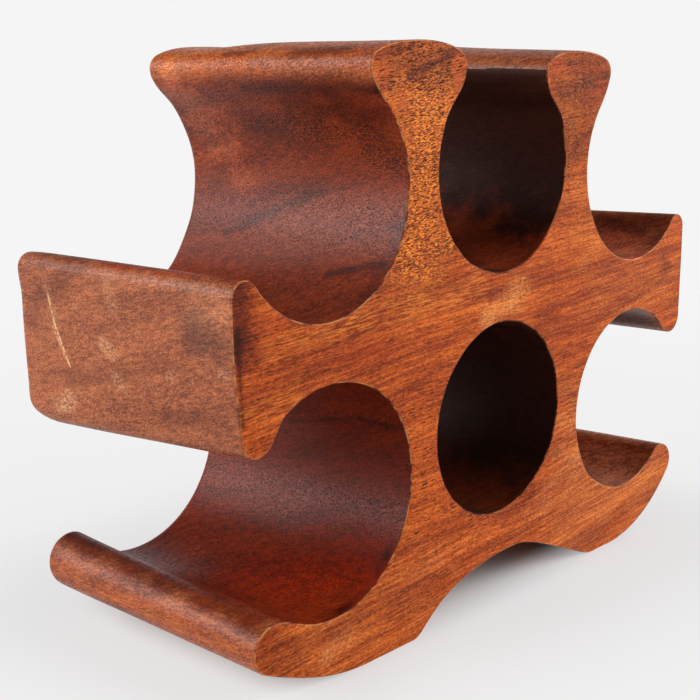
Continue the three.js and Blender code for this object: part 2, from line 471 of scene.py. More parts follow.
@dataclass(frozen=True)
class SideOutline:
    """The outline of one side on every layer, outwards from the middle of the rack.

    Each stretch has its own number of points. Where two edges of a board run into one curve, they meet at a
    share of it.
    """

    sizes: RackSizes
    own: SideSizes
    layers: Layers

    FLOOR_POINTS = 36
    JOINT_POINTS = 14
    SCOOP_POINTS = 72
    EASE_POINTS = 12
    TIP_POINTS = 22
    END_POINTS = 18
    DIP_POINTS = 18
    BASE_JOINT_POINTS = 26
    BASE_SCOOP_POINTS = 64
    LIP_EASE_POINTS = 10
    LIP_POINTS = 26
    ARCH_POINTS = 43
    FOOT_POINTS = 22
    UNDER_LIP_POINTS = 52
    LOWER_POST_POINTS = 52
    UPPER_POST_POINTS = 54
    HEAD_EASE_POINTS = 10
    HEAD_TIP_POINTS = 26
    CROWN_POINTS = 20
    MEETING = 0.5

    def bore(self, centre: Spot, radius: float, start: Array, end: Array) -> Arc:
        """Makes an arc of a hollow, which an inset widens."""
        return Arc(centre[0], centre[1], radius + self.layers.inset, start, end)

    def tip(self, x: Array, z: Array, radius: Array, start: Array, end: Array) -> Arc:
        """Makes an arc of a tip, which an inset narrows."""
        return Arc(x, z, radius - self.layers.inset, start, end)

    @staticmethod
    def beside(centre: Spot, apart: Array, height: Array, way: int) -> Array:
        """Finds how far out a tip lies whose middle is so far from a bore's, out (1) or in (-1) from it."""
        return centre[0] + way * np.sqrt(apart**2 - (height - centre[1]) ** 2)

    def open_bore(self) -> Arc:
        """The floor and side of the open place, from its lowest point up to the head."""
        x, z = self.sizes.open_bore
        tip_x, tip_z = self.inner_tip_place()
        end = aim(x, z, tip_x, tip_z) - self.sizes.inner_bore_ease
        return self.bore((x, z), self.sizes.open_bore_radius, -math.pi / 2, end)

    def closed_bore(self) -> Arc:
        """The outer half of the closed bore, from its highest point down."""
        bore = self.bore(self.sizes.closed_bore, self.sizes.closed_bore_radius, math.pi / 2, -math.pi / 2)
        return replace(bore, squash=self.sizes.closed_bore_squash)

    def head_top(self) -> Array:
        """Height of the middle of the head's crown."""
        return self.sizes.upper_bore[1] + self.sizes.bore_radius + self.own.head_cap.on(self.layers)

    def tip_height(self, radius: float) -> Array:
        """Height of the middle of a tip of the head, from which the crown rises."""
        return self.head_top() - self.sizes.head_crown - radius * math.cos(self.sizes.head_crown_turn)

    def inner_tip_place(self) -> tuple[Array, Array]:
        """Middle of the head's tip beside the open place."""
        height = self.tip_height(self.sizes.head_inner_tip)
        apart = self.sizes.open_bore_radius + self.sizes.head_inner_tip
        return self.beside(self.sizes.open_bore, apart, height, 1) - self.own.head_inner_reach, height

    def outer_tip_place(self) -> tuple[Array, Array]:
        """Middle of the head's tip over the upper scoop."""
        height = self.tip_height(self.sizes.head_outer_tip)
        apart = self.sizes.bore_radius + self.sizes.head_outer_tip
        beside = self.beside(self.sizes.upper_bore, apart, height, -1)
        return beside + self.own.head_reach.on(self.layers), height

    def horn_place(self) -> tuple[Array, Array]:
        """Middle of the arm's upper tip."""
        floor = self.sizes.upper_bore[1] - self.sizes.bore_radius
        height = floor + self.own.horn_rise.on(self.layers) - self.sizes.horn_tip
        beside = self.beside(self.sizes.upper_bore, self.sizes.bore_radius + self.sizes.horn_tip, height, 1)
        return beside - self.own.arm_pull.on(self.layers), height

    def arm_foot_place(self) -> tuple[Array, Array]:
        """Middle of the arm's lower tip."""
        roof = self.sizes.lower_bore[1] + self.sizes.bore_radius
        height = roof - self.own.arm_hang.on(self.layers) + self.sizes.arm_foot_tip
        return self.horn_place()[0] - self.own.arm_undercut.on(self.layers), height

    def lip_place(self) -> tuple[Array, Array]:
        """Middle of the base's upturned lip."""
        floor = self.sizes.lower_bore[1] - self.sizes.bore_radius
        radius = self.own.lip_tip.on(self.layers)
        height = floor + self.own.lip_rise.on(self.layers) - radius
        beside = self.beside(self.sizes.lower_bore, self.sizes.bore_radius + radius, height, 1)
        return beside - self.own.lip_pull.on(self.layers), height

    def inner_tip(self) -> Arc:
        """The head's round beside the open place, from the bore up to the crown."""
        x, z = self.inner_tip_place()
        start = aim(x, z, *self.sizes.open_bore) + 2 * math.pi - self.sizes.inner_tip_ease
        return self.tip(x, z, self.sizes.head_inner_tip, start, math.pi / 2 + self.sizes.head_crown_turn)

    def outer_tip(self) -> Arc:
        """The head's round over the upper scoop, from the crown down to the scoop."""
        x, z = self.outer_tip_place()
        ease = Run(self.sizes.head_tip_ease, self.sizes.back_tip_ease).on(self.layers)
        end = aim(x, z, *self.sizes.upper_bore) + ease
        return self.tip(x, z, self.sizes.head_outer_tip, math.pi / 2 - self.sizes.head_crown_turn, end)

    def upper_bore(self) -> Arc:
        """The upper scoop, from the head round to the arm."""
        x, z = self.sizes.upper_bore
        ease = Run(self.sizes.head_bore_ease, self.sizes.back_bore_ease).on(self.layers)
        start = aim(x, z, *self.outer_tip_place()) + ease
        end = aim(x, z, *self.horn_place()) + 2 * math.pi - self.sizes.bore_ease
        return self.bore((x, z), self.sizes.bore_radius, start, end)

    def horn(self) -> Arc:
        """The arm's upper tip, from the scoop over to the arm's end."""
        x, z = self.horn_place()
        start = aim(x, z, *self.sizes.upper_bore) - self.sizes.tip_ease
        return self.tip(x, z, self.sizes.horn_tip, start, 0 * start)

    def arm_foot(self) -> Arc:
        """The arm's lower tip, from the arm's end round to the lower scoop."""
        x, z = self.arm_foot_place()
        horn_x, horn_z = self.horn_place()
        lean = aim(horn_x + self.sizes.horn_tip, horn_z, x + self.sizes.arm_foot_tip, z)
        end = aim(x, z, *self.sizes.lower_bore) + self.sizes.arm_foot_ease
        return self.tip(x, z, self.sizes.arm_foot_tip, 2 * (math.pi / 2 + lean), end)

    def lower_bore(self) -> Arc:
        """The lower scoop, from the arm round to the lip."""
        x, z = self.sizes.lower_bore
        start = aim(x, z, *self.arm_foot_place()) + self.sizes.flank_ease
        end = aim(x, z, *self.lip_place()) + 2 * math.pi - self.own.lip_bore_ease
        return self.bore((x, z), self.sizes.bore_radius, start, end)

    def lip(self) -> Arc:
        """The roll of the lip, from the scoop over and under."""
        x, z = self.lip_place()
        start = aim(x, z, *self.sizes.lower_bore) - self.own.lip_tip_ease
        return self.tip(x, z, self.own.lip_tip.on(self.layers), start, -self.own.lip_under_turn + 0 * start)

    def foot_line(self) -> tuple[Array, Array]:
        """Outer and inner ends of the flat under the foot, one point on each layer."""
        outer = self.sizes.lower_bore[0] - self.own.foot_inset
        level = self.layers.inset
        ends = (outer + 0 * level, outer - self.own.foot_width + 0 * level)
        return tuple(np.stack([x, level], axis=-1) for x in ends)

    def arch(self) -> Ease:
        """Half of the hand room under the base, from its crown down to the foot."""
        foot = self.foot_line()[1]
        inset = self.layers.inset
        crown_x = self.own.side.value * self.sizes.arch_shift + 0 * inset
        crown = np.stack([crown_x, self.sizes.arch_rise + inset], axis=-1)
        run = foot[..., :1] - crown[..., :1]
        across = np.array([1.0, 0.0])
        return Ease(
            crown,
            crown + self.own.arch_fullness * run * across,
            foot - self.sizes.arch_foot_pull * run * across,
            foot,
        )

    def under_lip(self) -> Ease:
        """The slope from the roll of the lip down to the foot."""
        lip = self.lip()
        start = lip.point(lip.end)
        end = self.foot_line()[0]
        span = np.linalg.norm(end - start, axis=-1, keepdims=True)
        leaving = start + Ease.PULL * span * lip.heading(lip.end)
        return Ease(start, leaving, end + self.sizes.foot_ease * span * np.array([1.0, 0.0]), end)

    def middle_upper(self) -> Array:
        """Upper edge of the middle board's half, from the open place out to the middle of the arm's end."""
        floor, scoop, horn = self.open_bore(), self.upper_bore(), self.horn()
        floor = replace(floor, end=floor.outer_angle(self.sizes.horn_line))
        scoop = replace(scoop, start=scoop.inner_angle(self.sizes.horn_line))
        joint = straight(floor.point(floor.end), scoop.point(scoop.start), self.JOINT_POINTS)
        return chain(
            floor.sample(self.FLOOR_POINTS),
            joint,
            scoop.sample(self.SCOOP_POINTS),
            Ease.between(scoop, horn).sample(self.EASE_POINTS),
            horn.sample(self.TIP_POINTS),
            Ease.between(horn, self.arm_foot()).sample(self.END_POINTS, 0, self.MEETING),
        )

    def middle_lower(self) -> Array:
        """Lower edge of the middle board's half, from the closed bore out to the middle of the arm's end."""
        roof, scoop, tip = self.closed_bore(), self.lower_bore(), self.arm_foot()
        roof = replace(roof, end=roof.outer_angle(self.sizes.arm_line))
        scoop_out = replace(scoop, start=scoop.inner_angle(self.sizes.arm_line), end=scoop.start)
        joint = straight(roof.point(roof.end), scoop_out.point(scoop_out.start), self.JOINT_POINTS)
        return chain(
            roof.sample(self.FLOOR_POINTS),
            joint,
            scoop_out.sample(self.SCOOP_POINTS),
            Ease.between(tip, scoop).sample(self.EASE_POINTS, 1, 0),
            tip.back_to_front().sample(self.TIP_POINTS),
            Ease.between(self.horn(), tip).sample(self.END_POINTS, 1, self.MEETING),
        )

    def base_upper(self) -> Array:
        """Upper edge of the base board's half, from the closed bore out to the end of the lip."""
        dip, scoop, lip = self.closed_bore(), self.lower_bore(), self.lip()
        dip = replace(dip, start=dip.end, end=dip.outer_angle(self.sizes.base_line))
        scoop = replace(scoop, start=scoop.inner_angle(self.sizes.base_line))
        joint = straight(dip.point(dip.end), scoop.point(scoop.start), self.BASE_JOINT_POINTS)
        return chain(
            dip.sample(self.DIP_POINTS),
            joint,
            scoop.sample(self.BASE_SCOOP_POINTS),
            Ease.between(scoop, lip).sample(self.LIP_EASE_POINTS),
            replace(lip, end=0 * lip.end).sample(self.LIP_POINTS),
        )

    def base_lower(self) -> Array:
        """Lower edge of the base board's half, from the arch's crown out to the end of the lip."""
        outer, inner = self.foot_line()
        lip = self.lip()
        return chain(
            self.arch().sample(self.ARCH_POINTS),
            straight(inner, outer, self.FOOT_POINTS),
            self.under_lip().sample(self.UNDER_LIP_POINTS, 1, 0),
            replace(lip, start=lip.end, end=0 * lip.end).sample(self.LIP_POINTS),
        )

    def lower_post(self) -> tuple[Array, Array]:
        """Inner and outer edges of the lower post, from its upper glue line to its lower one."""
        top, drop = self.sizes.arm_line, self.sizes.base_line - self.sizes.arm_line
        heights = top + drop * eased_steps(self.LOWER_POST_POINTS)
        inner, outer = self.closed_bore(), self.lower_bore()
        return inner.point(inner.outer_angle(heights)), outer.point(outer.inner_angle(heights))

    def upper_post(self) -> tuple[Array, Array]:
        """Inner and outer edges of the upper post, from its glue line to the middle of the head."""
        bore, scoop = self.open_bore(), self.upper_bore()
        inner_tip, outer_tip = self.inner_tip(), self.outer_tip()
        crown = Ease.between(inner_tip, outer_tip, self.sizes.head_crown_pull)
        bore_up = replace(bore, start=bore.outer_angle(self.sizes.horn_line))
        scoop_up = replace(scoop, start=scoop.inner_angle(self.sizes.horn_line), end=scoop.start)
        inner = chain(
            bore_up.sample(self.UPPER_POST_POINTS),
            Ease.between(bore, inner_tip).sample(self.HEAD_EASE_POINTS),
            inner_tip.sample(self.HEAD_TIP_POINTS),
            crown.sample(self.CROWN_POINTS, 0, self.MEETING),
        )
        outer = chain(
            scoop_up.sample(self.UPPER_POST_POINTS),
            Ease.between(outer_tip, scoop).sample(self.HEAD_EASE_POINTS, 1, 0),
            outer_tip.back_to_front().sample(self.HEAD_TIP_POINTS),
            crown.sample(self.CROWN_POINTS, 1, self.MEETING),
        )
        return inner, outer


# Carving by hand


@dataclass(frozen=True)
class Dent:
    """A shallow natural hollow: a bell curve about a place on the crown of a head."""

    place: Spot
    reach: Spot
    deep: float

    def drop(self, points: Array) -> Array:
        """Gives how far each point is lowered."""
        away = (points[:, :2] - np.array(self.place)) / np.array(self.reach)
        return self.deep * np.exp(-np.sum(away**2, axis=1))


@dataclass(frozen=True)
class Hollow(ABC):
    """A hollow whose wall the carver moved, straight away from its middle or towards it.

    Attributes:
        side: The side of the rack.
        centre: Middle of the hollow, outwards and up.
        way: Which part of the wall is meant, as 1 or -1.
        skin: Depth into the wood at which nothing moves any more.
    """

    side: Side
    centre: Spot
    way: int
    skin: float

    @abstractmethod
    def depth(self, angle: Array, height: Array, towards_back: Array) -> Array:
        """Gives how deep the wall was cut, by angle and by height in radii about the hollow's middle."""

    def push(self, points: Array, radius: float, towards_back: Array) -> Array:
        """Gives how far each point moves: the depth on the wall itself, and less into the wood.

        Args:
            points: Places on the drawn shape, one in each row.
            radius: Radius of the hollow.
            towards_back: 0 for a point at the front and 1 for one at the back.

        Returns:
            The moves along X, Y and Z.
        """
        outwards = points[:, 0] * self.side.value
        out, up = outwards - self.centre[0], points[:, 2] - self.centre[1]
        apart = np.hypot(out, up)
        near = smooth_step(1 - (apart - radius) / self.skin) * (outwards > 0)
        share = self.depth(np.arctan2(up, out), up / radius, towards_back) * near / apart
        return np.stack([self.side.value * out * share, 0 * share, up * share], axis=-1)


@dataclass(frozen=True)
class Undercut(Hollow):
    """A soft crease under a tip of a head, where the hollow was gouged deeper than the tip was rounded.

    Past the crease's angle, the depth steps up and then dies away along the wall. It starts behind the front
    edge and dies away towards the back. The way is 1 where the hollow lies past the crease, and -1 where it
    lies before it.
    """

    crease: float

    DEEP = 1.5
    START = 0.15
    FADE = 0.7
    LEAD = math.radians(-4)
    STEP = math.radians(4)
    RUN = math.radians(9)

    def depth(self, angle: Array, height: Array, towards_back: Array) -> Array:
        """Gives how deep the wall was cut.

        Args:
            angle: Angle about the hollow's middle.
            height: Height over that middle, in radii; not used here.
            towards_back: 0 at the front and 1 at the back.

        Returns:
            The depths.
        """
        past = self.way * (angle - self.crease) - self.LEAD
        along = smooth_step(past / self.STEP) * np.exp(-np.clip(past - self.STEP, 0, None) / self.RUN)
        behind = smooth_step(towards_back / self.START) * (1 - self.FADE * towards_back)
        return self.DEEP * along * behind


@dataclass(frozen=True)
class Gouge(Hollow):
    """A hollow whose roof (way 1) or floor (way -1) was gouged deeper than drawn, or less deep."""

    depths: Run

    def depth(self, angle: Array, height: Array, towards_back: Array) -> Array:
        """Gives the depth, which is greatest straight over or under the hollow's middle."""
        even = self.depths.front + (self.depths.back - self.depths.front) * towards_back
        return even * smooth_step(self.way * height)


@dataclass(frozen=True)
class Wave:
    """A slow wave over space: the mean of three sines along slanting directions.

    Attributes:
        lengths: Wave lengths of the three sines.
        phase: Shifts the sines, so that each wave has its own.
    """

    lengths: Place
    phase: float

    SLANTS = ((1.0, 0.35, 0.2), (-0.3, 1.0, 0.45), (0.25, -0.4, 1.0))
    SHIFTS = (1.0, 2.3, 3.7)

    def over(self, points: Array) -> Array:
        """Gives the wave at each point, from -1 to 1."""
        turns = 2 * math.pi * (points @ np.array(self.SLANTS).T) / np.array(self.lengths)
        return np.mean(np.sin(turns + self.phase * np.array(self.SHIFTS)), axis=1)


@dataclass(frozen=True)
class HandCarving:
    """What the carver's hand did to the drawn shape: spread ends, creases, slow waves and a dent.

    Attributes:
        sizes: The sizes of the rack.
        layers: The layers that it is lofted through.
        gouges: Hollows that differ from the drawn ones.
        undercuts: Creases under the heads.
        dents: Natural hollows on the heads.
        sideways: The wave along the front.
        through: The wave of the front and the back.
        upwards: The wave in height.
        wave: How far a wave moves the wood along the front and in height.
        face_wave: How far a wave moves the front and the back.
        still: Distance from a glue line or the table within which nothing moves up or down.
        head_height: Height above which the heads lie.
        low_spread: Share of the spread that the base has.
    """

    sizes: RackSizes
    layers: Layers
    gouges: tuple[Gouge, ...]
    undercuts: tuple[Undercut, ...]
    dents: tuple[Dent, ...]
    sideways: Wave = Wave((90, 70, 110), 0.4)
    through: Wave = Wave((60, 80, 55), 1.1)
    upwards: Wave = Wave((75, 95, 85), 2.0)
    wave: float = 0.4
    face_wave: float = 0.14
    still: float = 14
    head_height: float = 240
    low_spread: float = 0.35

    def stillness(self, heights: Array) -> Array:
        """Gives 0 at the glue lines and the table, and 1 away from them, along a smooth step."""
        lines = np.append(self.sizes.glue_lines, 0)
        return smooth_step(np.min(np.abs(heights[:, None] - lines), axis=1) / self.still)

    def towards_back(self, points: Array) -> Array:
        """Gives 0 for points at the front and 1 for points at the back."""
        front, back = self.layers.depth[0, 0], self.layers.depth[-1, 0]
        return (points[:, 1] - front) / (back - front)

    def spread(self, points: Array) -> Array:
        """Gives how far points beyond the bores move outwards, which grows evenly towards the back.

        Args:
            points: Places on the drawn shape, one in each row.

        Returns:
            The moves along X.
        """
        radius = self.sizes.bore_radius
        outwards = (np.abs(points[:, 0]) - radius) / (radius / 2)
        upwards = smooth_step((points[:, 2] - self.sizes.closed_bore[1] + radius / 2) / radius)
        share = self.low_spread + (1 - self.low_spread) * upwards
        reach = self.sizes.back_splay * self.towards_back(points)
        return np.sign(points[:, 0]) * reach * share * smooth_step(outwards)

    def applied(self, points: Array) -> Array:
        """Moves points as the carving did.

        Args:
            points: Places on the drawn shape, one in each row.

        Returns:
            The carved places.
        """
        towards_back = self.towards_back(points)
        gouged = sum(gouge.push(points, self.sizes.bore_radius, towards_back) for gouge in self.gouges)
        gouged[:, 2] *= self.stillness(points[:, 2])
        carved = points + gouged
        for undercut in self.undercuts:
            carved += undercut.push(points, self.sizes.bore_radius, towards_back)
        carved[:, 0] += self.spread(points) + self.wave * self.sideways.over(points)
        carved[:, 1] += self.face_wave * self.through.over(points)
        lift = self.wave * self.upwards.over(points)
        for dent in self.dents:
            lift -= dent.drop(points) * (points[:, 2] > self.head_height)
        carved[:, 2] += lift * self.stillness(points[:, 2])
        return carved


# Meshes


def quads_of(grid: Array) -> Array:
    """Gives the quads of a grid of vertex numbers."""
    return np.stack([grid[:-1, :-1], grid[1:, :-1], grid[1:, 1:], grid[:-1, 1:]], axis=-1).reshape(-1, 4)


@dataclass
class Loft:
    """A closed board between two edges: the six sides of a lattice of layers, points across and stations.

    A point of the lattice is the first edge plus a share of the way to the second edge on the same layer.
    Where the edges meet at a station, the lattice closes there like a seam.
    """

    name: str
    first: Array
    second: Array
    layers: Layers
    across: int

    ON_GLUE_LINE = 1e-6
    SHARP_LINE = 1e-3
    MERGED = 1e-7

    def lattice(self) -> Array:
        """Works out every point of the lattice, as layers by points across by stations by X, Y and Z."""
        share = eased_steps(self.across)[None, :, None, None]
        flat = self.first[:, None] + (self.second - self.first)[:, None] * share
        depth = np.broadcast_to(self.layers.depth[:, :, None], flat.shape[:3])
        return np.stack([flat[..., 0], depth, flat[..., 1]], axis=-1)

    def sides(self) -> list[tuple[Array, Surface]]:
        """Gives the quads of the six sides of the lattice, each with its kind of surface."""
        count = (len(self.layers.depth), self.across, self.first.shape[1])
        number = np.arange(math.prod(count)).reshape(count)
        return [
            (quads_of(number[0]), Surface.FACE),
            (quads_of(number[-1])[:, ::-1], Surface.FACE),
            (quads_of(number[:, 0])[:, ::-1], Surface.WALL),
            (quads_of(number[:, -1]), Surface.WALL),
            (quads_of(number[:, :, 0]), Surface.JOINT),
            (quads_of(number[:, :, -1])[:, ::-1], Surface.JOINT),
        ]

    def wear(self) -> Array:
        """Gives how worn each layer is: 1 half-way round the front edge and 0 on the face and the wall."""
        share = self.layers.inset / self.layers.inset[0, 0]
        front = self.layers.share < 0.5
        return np.where(front, np.clip(4 * share * (1 - share), 0, 1), 0)

    def mesh(self, carving: HandCarving) -> Mesh:
        """Makes the mesh, merged where the edges meet, with sharp edges round its glued faces.

        Args:
            carving: What moves the drawn points.

        Returns:
            A closed mesh in metres, with attributes for wear, for the hollows' darkening by oil and painted
            shade, and for calm.
        """
        lattice, sides = self.lattice(), self.sides()
        quads = np.concatenate([quads for quads, _ in sides])
        kinds = np.concatenate([np.full(len(quads), kind.value) for quads, kind in sides])
        used, corners = np.unique(quads, return_inverse=True)
        corners = corners.reshape(quads.shape)
        drawn = lattice.reshape(-1, 3)[used]
        from_glue = np.abs(drawn[corners][..., 2, None] - carving.sizes.glue_lines)
        glued = np.any(np.all(from_glue < self.ON_GLUE_LINE, axis=1), axis=1)
        bored = (kinds == Surface.WALL.value) & carving.sizes.in_bore(drawn[corners].mean(axis=1))
        kinds = np.where(glued, Surface.JOINT.value, np.where(bored, Surface.BORE.value, kinds))
        wear = np.broadcast_to(self.wear()[:, :, None], lattice.shape[:3]).reshape(-1)[used]
        mesh = bpy.data.meshes.new(self.name)
        mesh.from_pydata(carving.applied(drawn) * MM, [], corners)
        mesh.polygons.foreach_set("material_index", kinds.astype(np.int32))
        stain_and_shade, calm = carving.sizes.stain_and_shade(drawn), carving.sizes.calm(drawn)
        for name, values in (("wear", wear), ("stain_and_shade", stain_and_shade), ("calm", calm)):
            layer = mesh.attributes.new(name, "FLOAT", "POINT")
            layer.data.foreach_set("value", values.astype(np.float32))
        shell = bmesh.new()
        shell.from_mesh(mesh)
        bmesh.ops.remove_doubles(shell, verts=shell.verts, dist=self.MERGED)
        bmesh.ops.recalc_face_normals(shell, faces=shell.faces)
        shell.to_mesh(mesh)
        shell.free()
        self.sharpen(mesh, carving.sizes.glue_lines)
        return mesh

    def sharpen(self, mesh: Mesh, glue_lines: Array) -> None:
        """Marks the edges that lie on a glue line as sharp and the rest as smooth.

        Args:
            mesh: The board's mesh.
            glue_lines: Heights of the glue lines.
        """
        mesh.shade_smooth()
        places = np.empty(3 * len(mesh.vertices))
        mesh.vertices.foreach_get("co", places)
        heights = places[2::3] / MM
        ends = np.empty(2 * len(mesh.edges), np.int32)
        mesh.edges.foreach_get("vertices", ends)
        away = np.abs(heights[ends.reshape(-1, 2)][..., None] - glue_lines)
        sharp = np.any(np.all(away < self.SHARP_LINE, axis=1), axis=1)
        mesh.attributes.new("sharp_edge", "BOOLEAN", "EDGE").data.foreach_set("value", sharp)


# Node wiring

Socket = NodeSocket
Source = float | tuple | Socket
ORIGIN = (0.0, 0.0, 0.0)


@dataclass(frozen=True)
class Pattern:
    """A noise that is stretched along each axis.

    Attributes:
        patch: Size of a patch along each axis, in millimetres.
        detail: How many finer layers it has.
        low: Level of the noise that counts as nothing.
        high: Level of the noise that counts as full.
        rough: How strong the finer layers are.
        bend: How far the noise distorts itself.
    """

    patch: Place
    detail: float
    low: float = 0.0
    high: float = 1.0
    rough: float = 0.5
    bend: float = 0.0


@dataclass(frozen=True)
class Pores:
    """Pores as the middles of random stretched cells.

    Attributes:
        cell: Size of a cell along each axis, in millimetres.
        inner: Distance from a cell's middle, in cells, where its pore starts to end.
        outer: Distance where the pore has ended.
    """

    cell: Place
    inner: float
    outer: float


class Wiring:
    """Adds nodes to a node tree, with plain values set on their sockets and sockets linked to them."""

    def __init__(self, tree: NodeTree) -> None:
        """Keeps the tree that the nodes go into."""
        self.tree = tree

    @classmethod
    def emptied(cls, owner: Material | World) -> "Wiring":
        """Turns on the nodes of a material or a world, and takes out those that it comes with.

        Args:
            owner: The material or the world.

        Returns:
            The wiring of its empty tree.
        """
        owner.use_nodes = True
        owner.node_tree.nodes.clear()
        return cls(owner.node_tree)

    def node(self, kind: str, inputs: dict[str | int, Source], **settings: object) -> Node:
        """Adds one node.

        Args:
            kind: The node's type, without its leading ShaderNode.
            inputs: What each input socket gets, by name or number.
            settings: Properties of the node itself.

        Returns:
            The node.
        """
        node = self.tree.nodes.new("ShaderNode" + kind)
        for name, value in settings.items():
            setattr(node, name, value)
        for key, source in inputs.items():
            if isinstance(source, Socket):
                self.tree.links.new(source, node.inputs[key])
            else:
                node.inputs[key].default_value = source
        return node

    def math(self, operation: str, first: Source, second: Source = 0.0) -> Socket:
        """Adds a sum, product or other operation on two numbers."""
        return self.node("Math", {0: first, 1: second}, operation=operation).outputs[0]

    def vector(self, operation: str, first: Source, second: Source = ORIGIN) -> Socket:
        """Adds an operation on vectors that gives a vector."""
        return self.node("VectorMath", {0: first, 1: second}, operation=operation).outputs["Vector"]

    def measure(self, operation: str, first: Source, second: Source = ORIGIN) -> Socket:
        """Adds an operation on vectors that gives a number."""
        return self.node("VectorMath", {0: first, 1: second}, operation=operation).outputs["Value"]

    def scaled(self, vector: Source, factor: Source) -> Socket:
        """Multiplies a vector by a number."""
        return self.node("VectorMath", {0: vector, "Scale": factor}, operation="SCALE").outputs["Vector"]

    def ramp(
        self, value: Source, low: float, high: float, to_low: float = 0.0, to_high: float = 1.0
    ) -> Socket:
        """Adds a smooth step that turns one range of numbers into another."""
        inputs = {"Value": value, "From Min": low, "From Max": high, "To Min": to_low, "To Max": to_high}
        return self.node("MapRange", inputs, interpolation_type="SMOOTHSTEP").outputs[0]

    def fall(self, value: Source, low: float, high: float) -> Socket:
        """Adds a smooth step from 1 down to 0."""
        return self.ramp(value, low, high, 1.0, 0.0)

    def mix(self, share: Source, first: Source, second: Source, blend: str = "MIX") -> Socket:
        """Adds a mix of two colours."""
        inputs = {0: share, 6: first, 7: second}
        return self.node("Mix", inputs, data_type="RGBA", blend_type=blend).outputs[2]

    def noise(self, position: Source, pattern: Pattern) -> Socket:
        """Adds the plain noise of a pattern.

        Args:
            position: Where the noise is read, in millimetres.
            pattern: The pattern.

        Returns:
            The noise, from 0 to 1.
        """
        inputs = {
            "Vector": self.vector("DIVIDE", position, pattern.patch),
            "Scale": 1.0,
            "Detail": pattern.detail,
            "Roughness": pattern.rough,
            "Distortion": pattern.bend,
        }
        return self.node("TexNoise", inputs).outputs[0]

    def spots(self, position: Source, pattern: Pattern, to_low: float = 0.0, to_high: float = 1.0) -> Socket:
        """Adds the noise of a pattern, as a smooth step between its two levels."""
        return self.ramp(self.noise(position, pattern), pattern.low, pattern.high, to_low, to_high)

    def pores(self, position: Source, pores: Pores) -> tuple[Socket, Socket]:
        """Adds pores.

        Args:
            position: Where the pores are read, in millimetres.
            pores: The pores.

        Returns:
            A mask that is 1 inside a pore, and a chance from 0 to 1 for the nearest pore.
        """
        inputs = {"Vector": self.vector("DIVIDE", position, pores.cell), "Scale": 1.0}
        cells = self.node("TexVoronoi", inputs)
        chance = self.node("SeparateColor", {0: cells.outputs["Color"]}).outputs[0]
        return self.fall(cells.outputs["Distance"], pores.inner, pores.outer), chance


@dataclass(frozen=True)
class NodeGroup:
    """A shared effect: a node group with named inputs and outputs, built once."""

    name: str
    inputs: dict[str, str]
    outputs: tuple[str, ...]
    gives: str = "Float"

    def start(self) -> tuple[Wiring, NodeOutputs]:
        """Makes the empty group.

        Returns:
            The group's wiring and the sockets that it starts from.
        """
        tree = bpy.data.node_groups.new(self.name, "ShaderNodeTree")
        for name, kind in self.inputs.items():
            tree.interface.new_socket(name, in_out="INPUT", socket_type="NodeSocket" + kind)
        for name in self.outputs:
            tree.interface.new_socket(name, in_out="OUTPUT", socket_type="NodeSocket" + self.gives)
        return Wiring(tree), tree.nodes.new("NodeGroupInput").outputs

    def finished(self, wiring: Wiring, *results: Socket) -> NodeTree:
        """Links what the group gives, in the order of its outputs.

        Args:
            wiring: The group's wiring.
            results: One socket for each output.

        Returns:
            The group.
        """
        given = wiring.tree.nodes.new("NodeGroupOutput").inputs
        for name, result in zip(self.outputs, results):
            wiring.tree.links.new(result, given[name])
        return wiring.tree


# Shared effects in the wood

SWAY = Pattern((190.0, 130.0, 90.0), 1.0)
RIPPLE = Pattern((40.0, 30.0, 24.0), 1.0)
RIPPLE_SHARE = 0.2
STEEP_FROM = 165.0
STEEP_TO = 235.0
STEEP_SLANT = 0.1


def fibre_space() -> NodeTree:
    """Builds the group that turns a place on the rack into the log's own space, in millimetres.

    The log lay turned in the blank, its layers rise more steeply to the right near the top, and slow noise
    bends them up and down.

    Returns:
        The group, from Position, Tilt and Bend to Fibres.
    """
    inputs = {"Position": "Vector", "Tilt": "Vector", "Bend": "Float"}
    group = NodeGroup("fibre_space", inputs, ("Fibres",), "Vector")
    wiring, taken = group.start()
    turning = {"Vector": taken["Position"], "Rotation": taken["Tilt"]}
    turned = wiring.node("VectorRotate", turning, rotation_type="EULER_XYZ").outputs[0]
    large = wiring.scaled(turned, 1 / MM)
    sway = wiring.math("SUBTRACT", wiring.noise(large, SWAY), 0.5)
    ripple = wiring.math("SUBTRACT", wiring.noise(large, RIPPLE), 0.5)
    moved = wiring.math("ADD", sway, wiring.math("MULTIPLY", ripple, RIPPLE_SHARE))
    split = wiring.node("SeparateXYZ", {0: large}).outputs
    slope = wiring.ramp(split["Z"], STEEP_FROM, STEEP_TO, 0.0, STEEP_SLANT)
    slant = wiring.math("MULTIPLY", split["X"], slope)
    bent = wiring.math("SUBTRACT", wiring.math("MULTIPLY", moved, taken["Bend"]), slant)
    lift = wiring.node("CombineXYZ", {"Z": bent}).outputs[0]
    return group.finished(wiring, wiring.vector("ADD", large, lift))


BROAD_LAYERS = Pattern((170.0, 110.0, 12.0), 2.0, 0.3, 0.7, rough=0.55, bend=0.25)
FINE_STREAKS = Pattern((26.0, 5.0, 1.1), 2.0, 0.3, 0.7, rough=0.6)
MOTTLED_FLECKS = Pattern((1.9, 1.4, 0.6), 1.0, 0.3, 0.7, rough=0.6)


def growth_layers() -> NodeTree:
    """Builds the group for the figure of the wood: broad growth layers, fine streaks and mottled flecks.

    Returns:
        The group, from Fibres to Layers, Streaks and Flecks, each from 0 to 1.
    """
    group = NodeGroup("growth_layers", {"Fibres": "Vector"}, ("Layers", "Streaks", "Flecks"))
    wiring, taken = group.start()
    patterns = (BROAD_LAYERS, FINE_STREAKS, MOTTLED_FLECKS)
    return group.finished(wiring, *(wiring.spots(taken["Fibres"], pattern) for pattern in patterns))


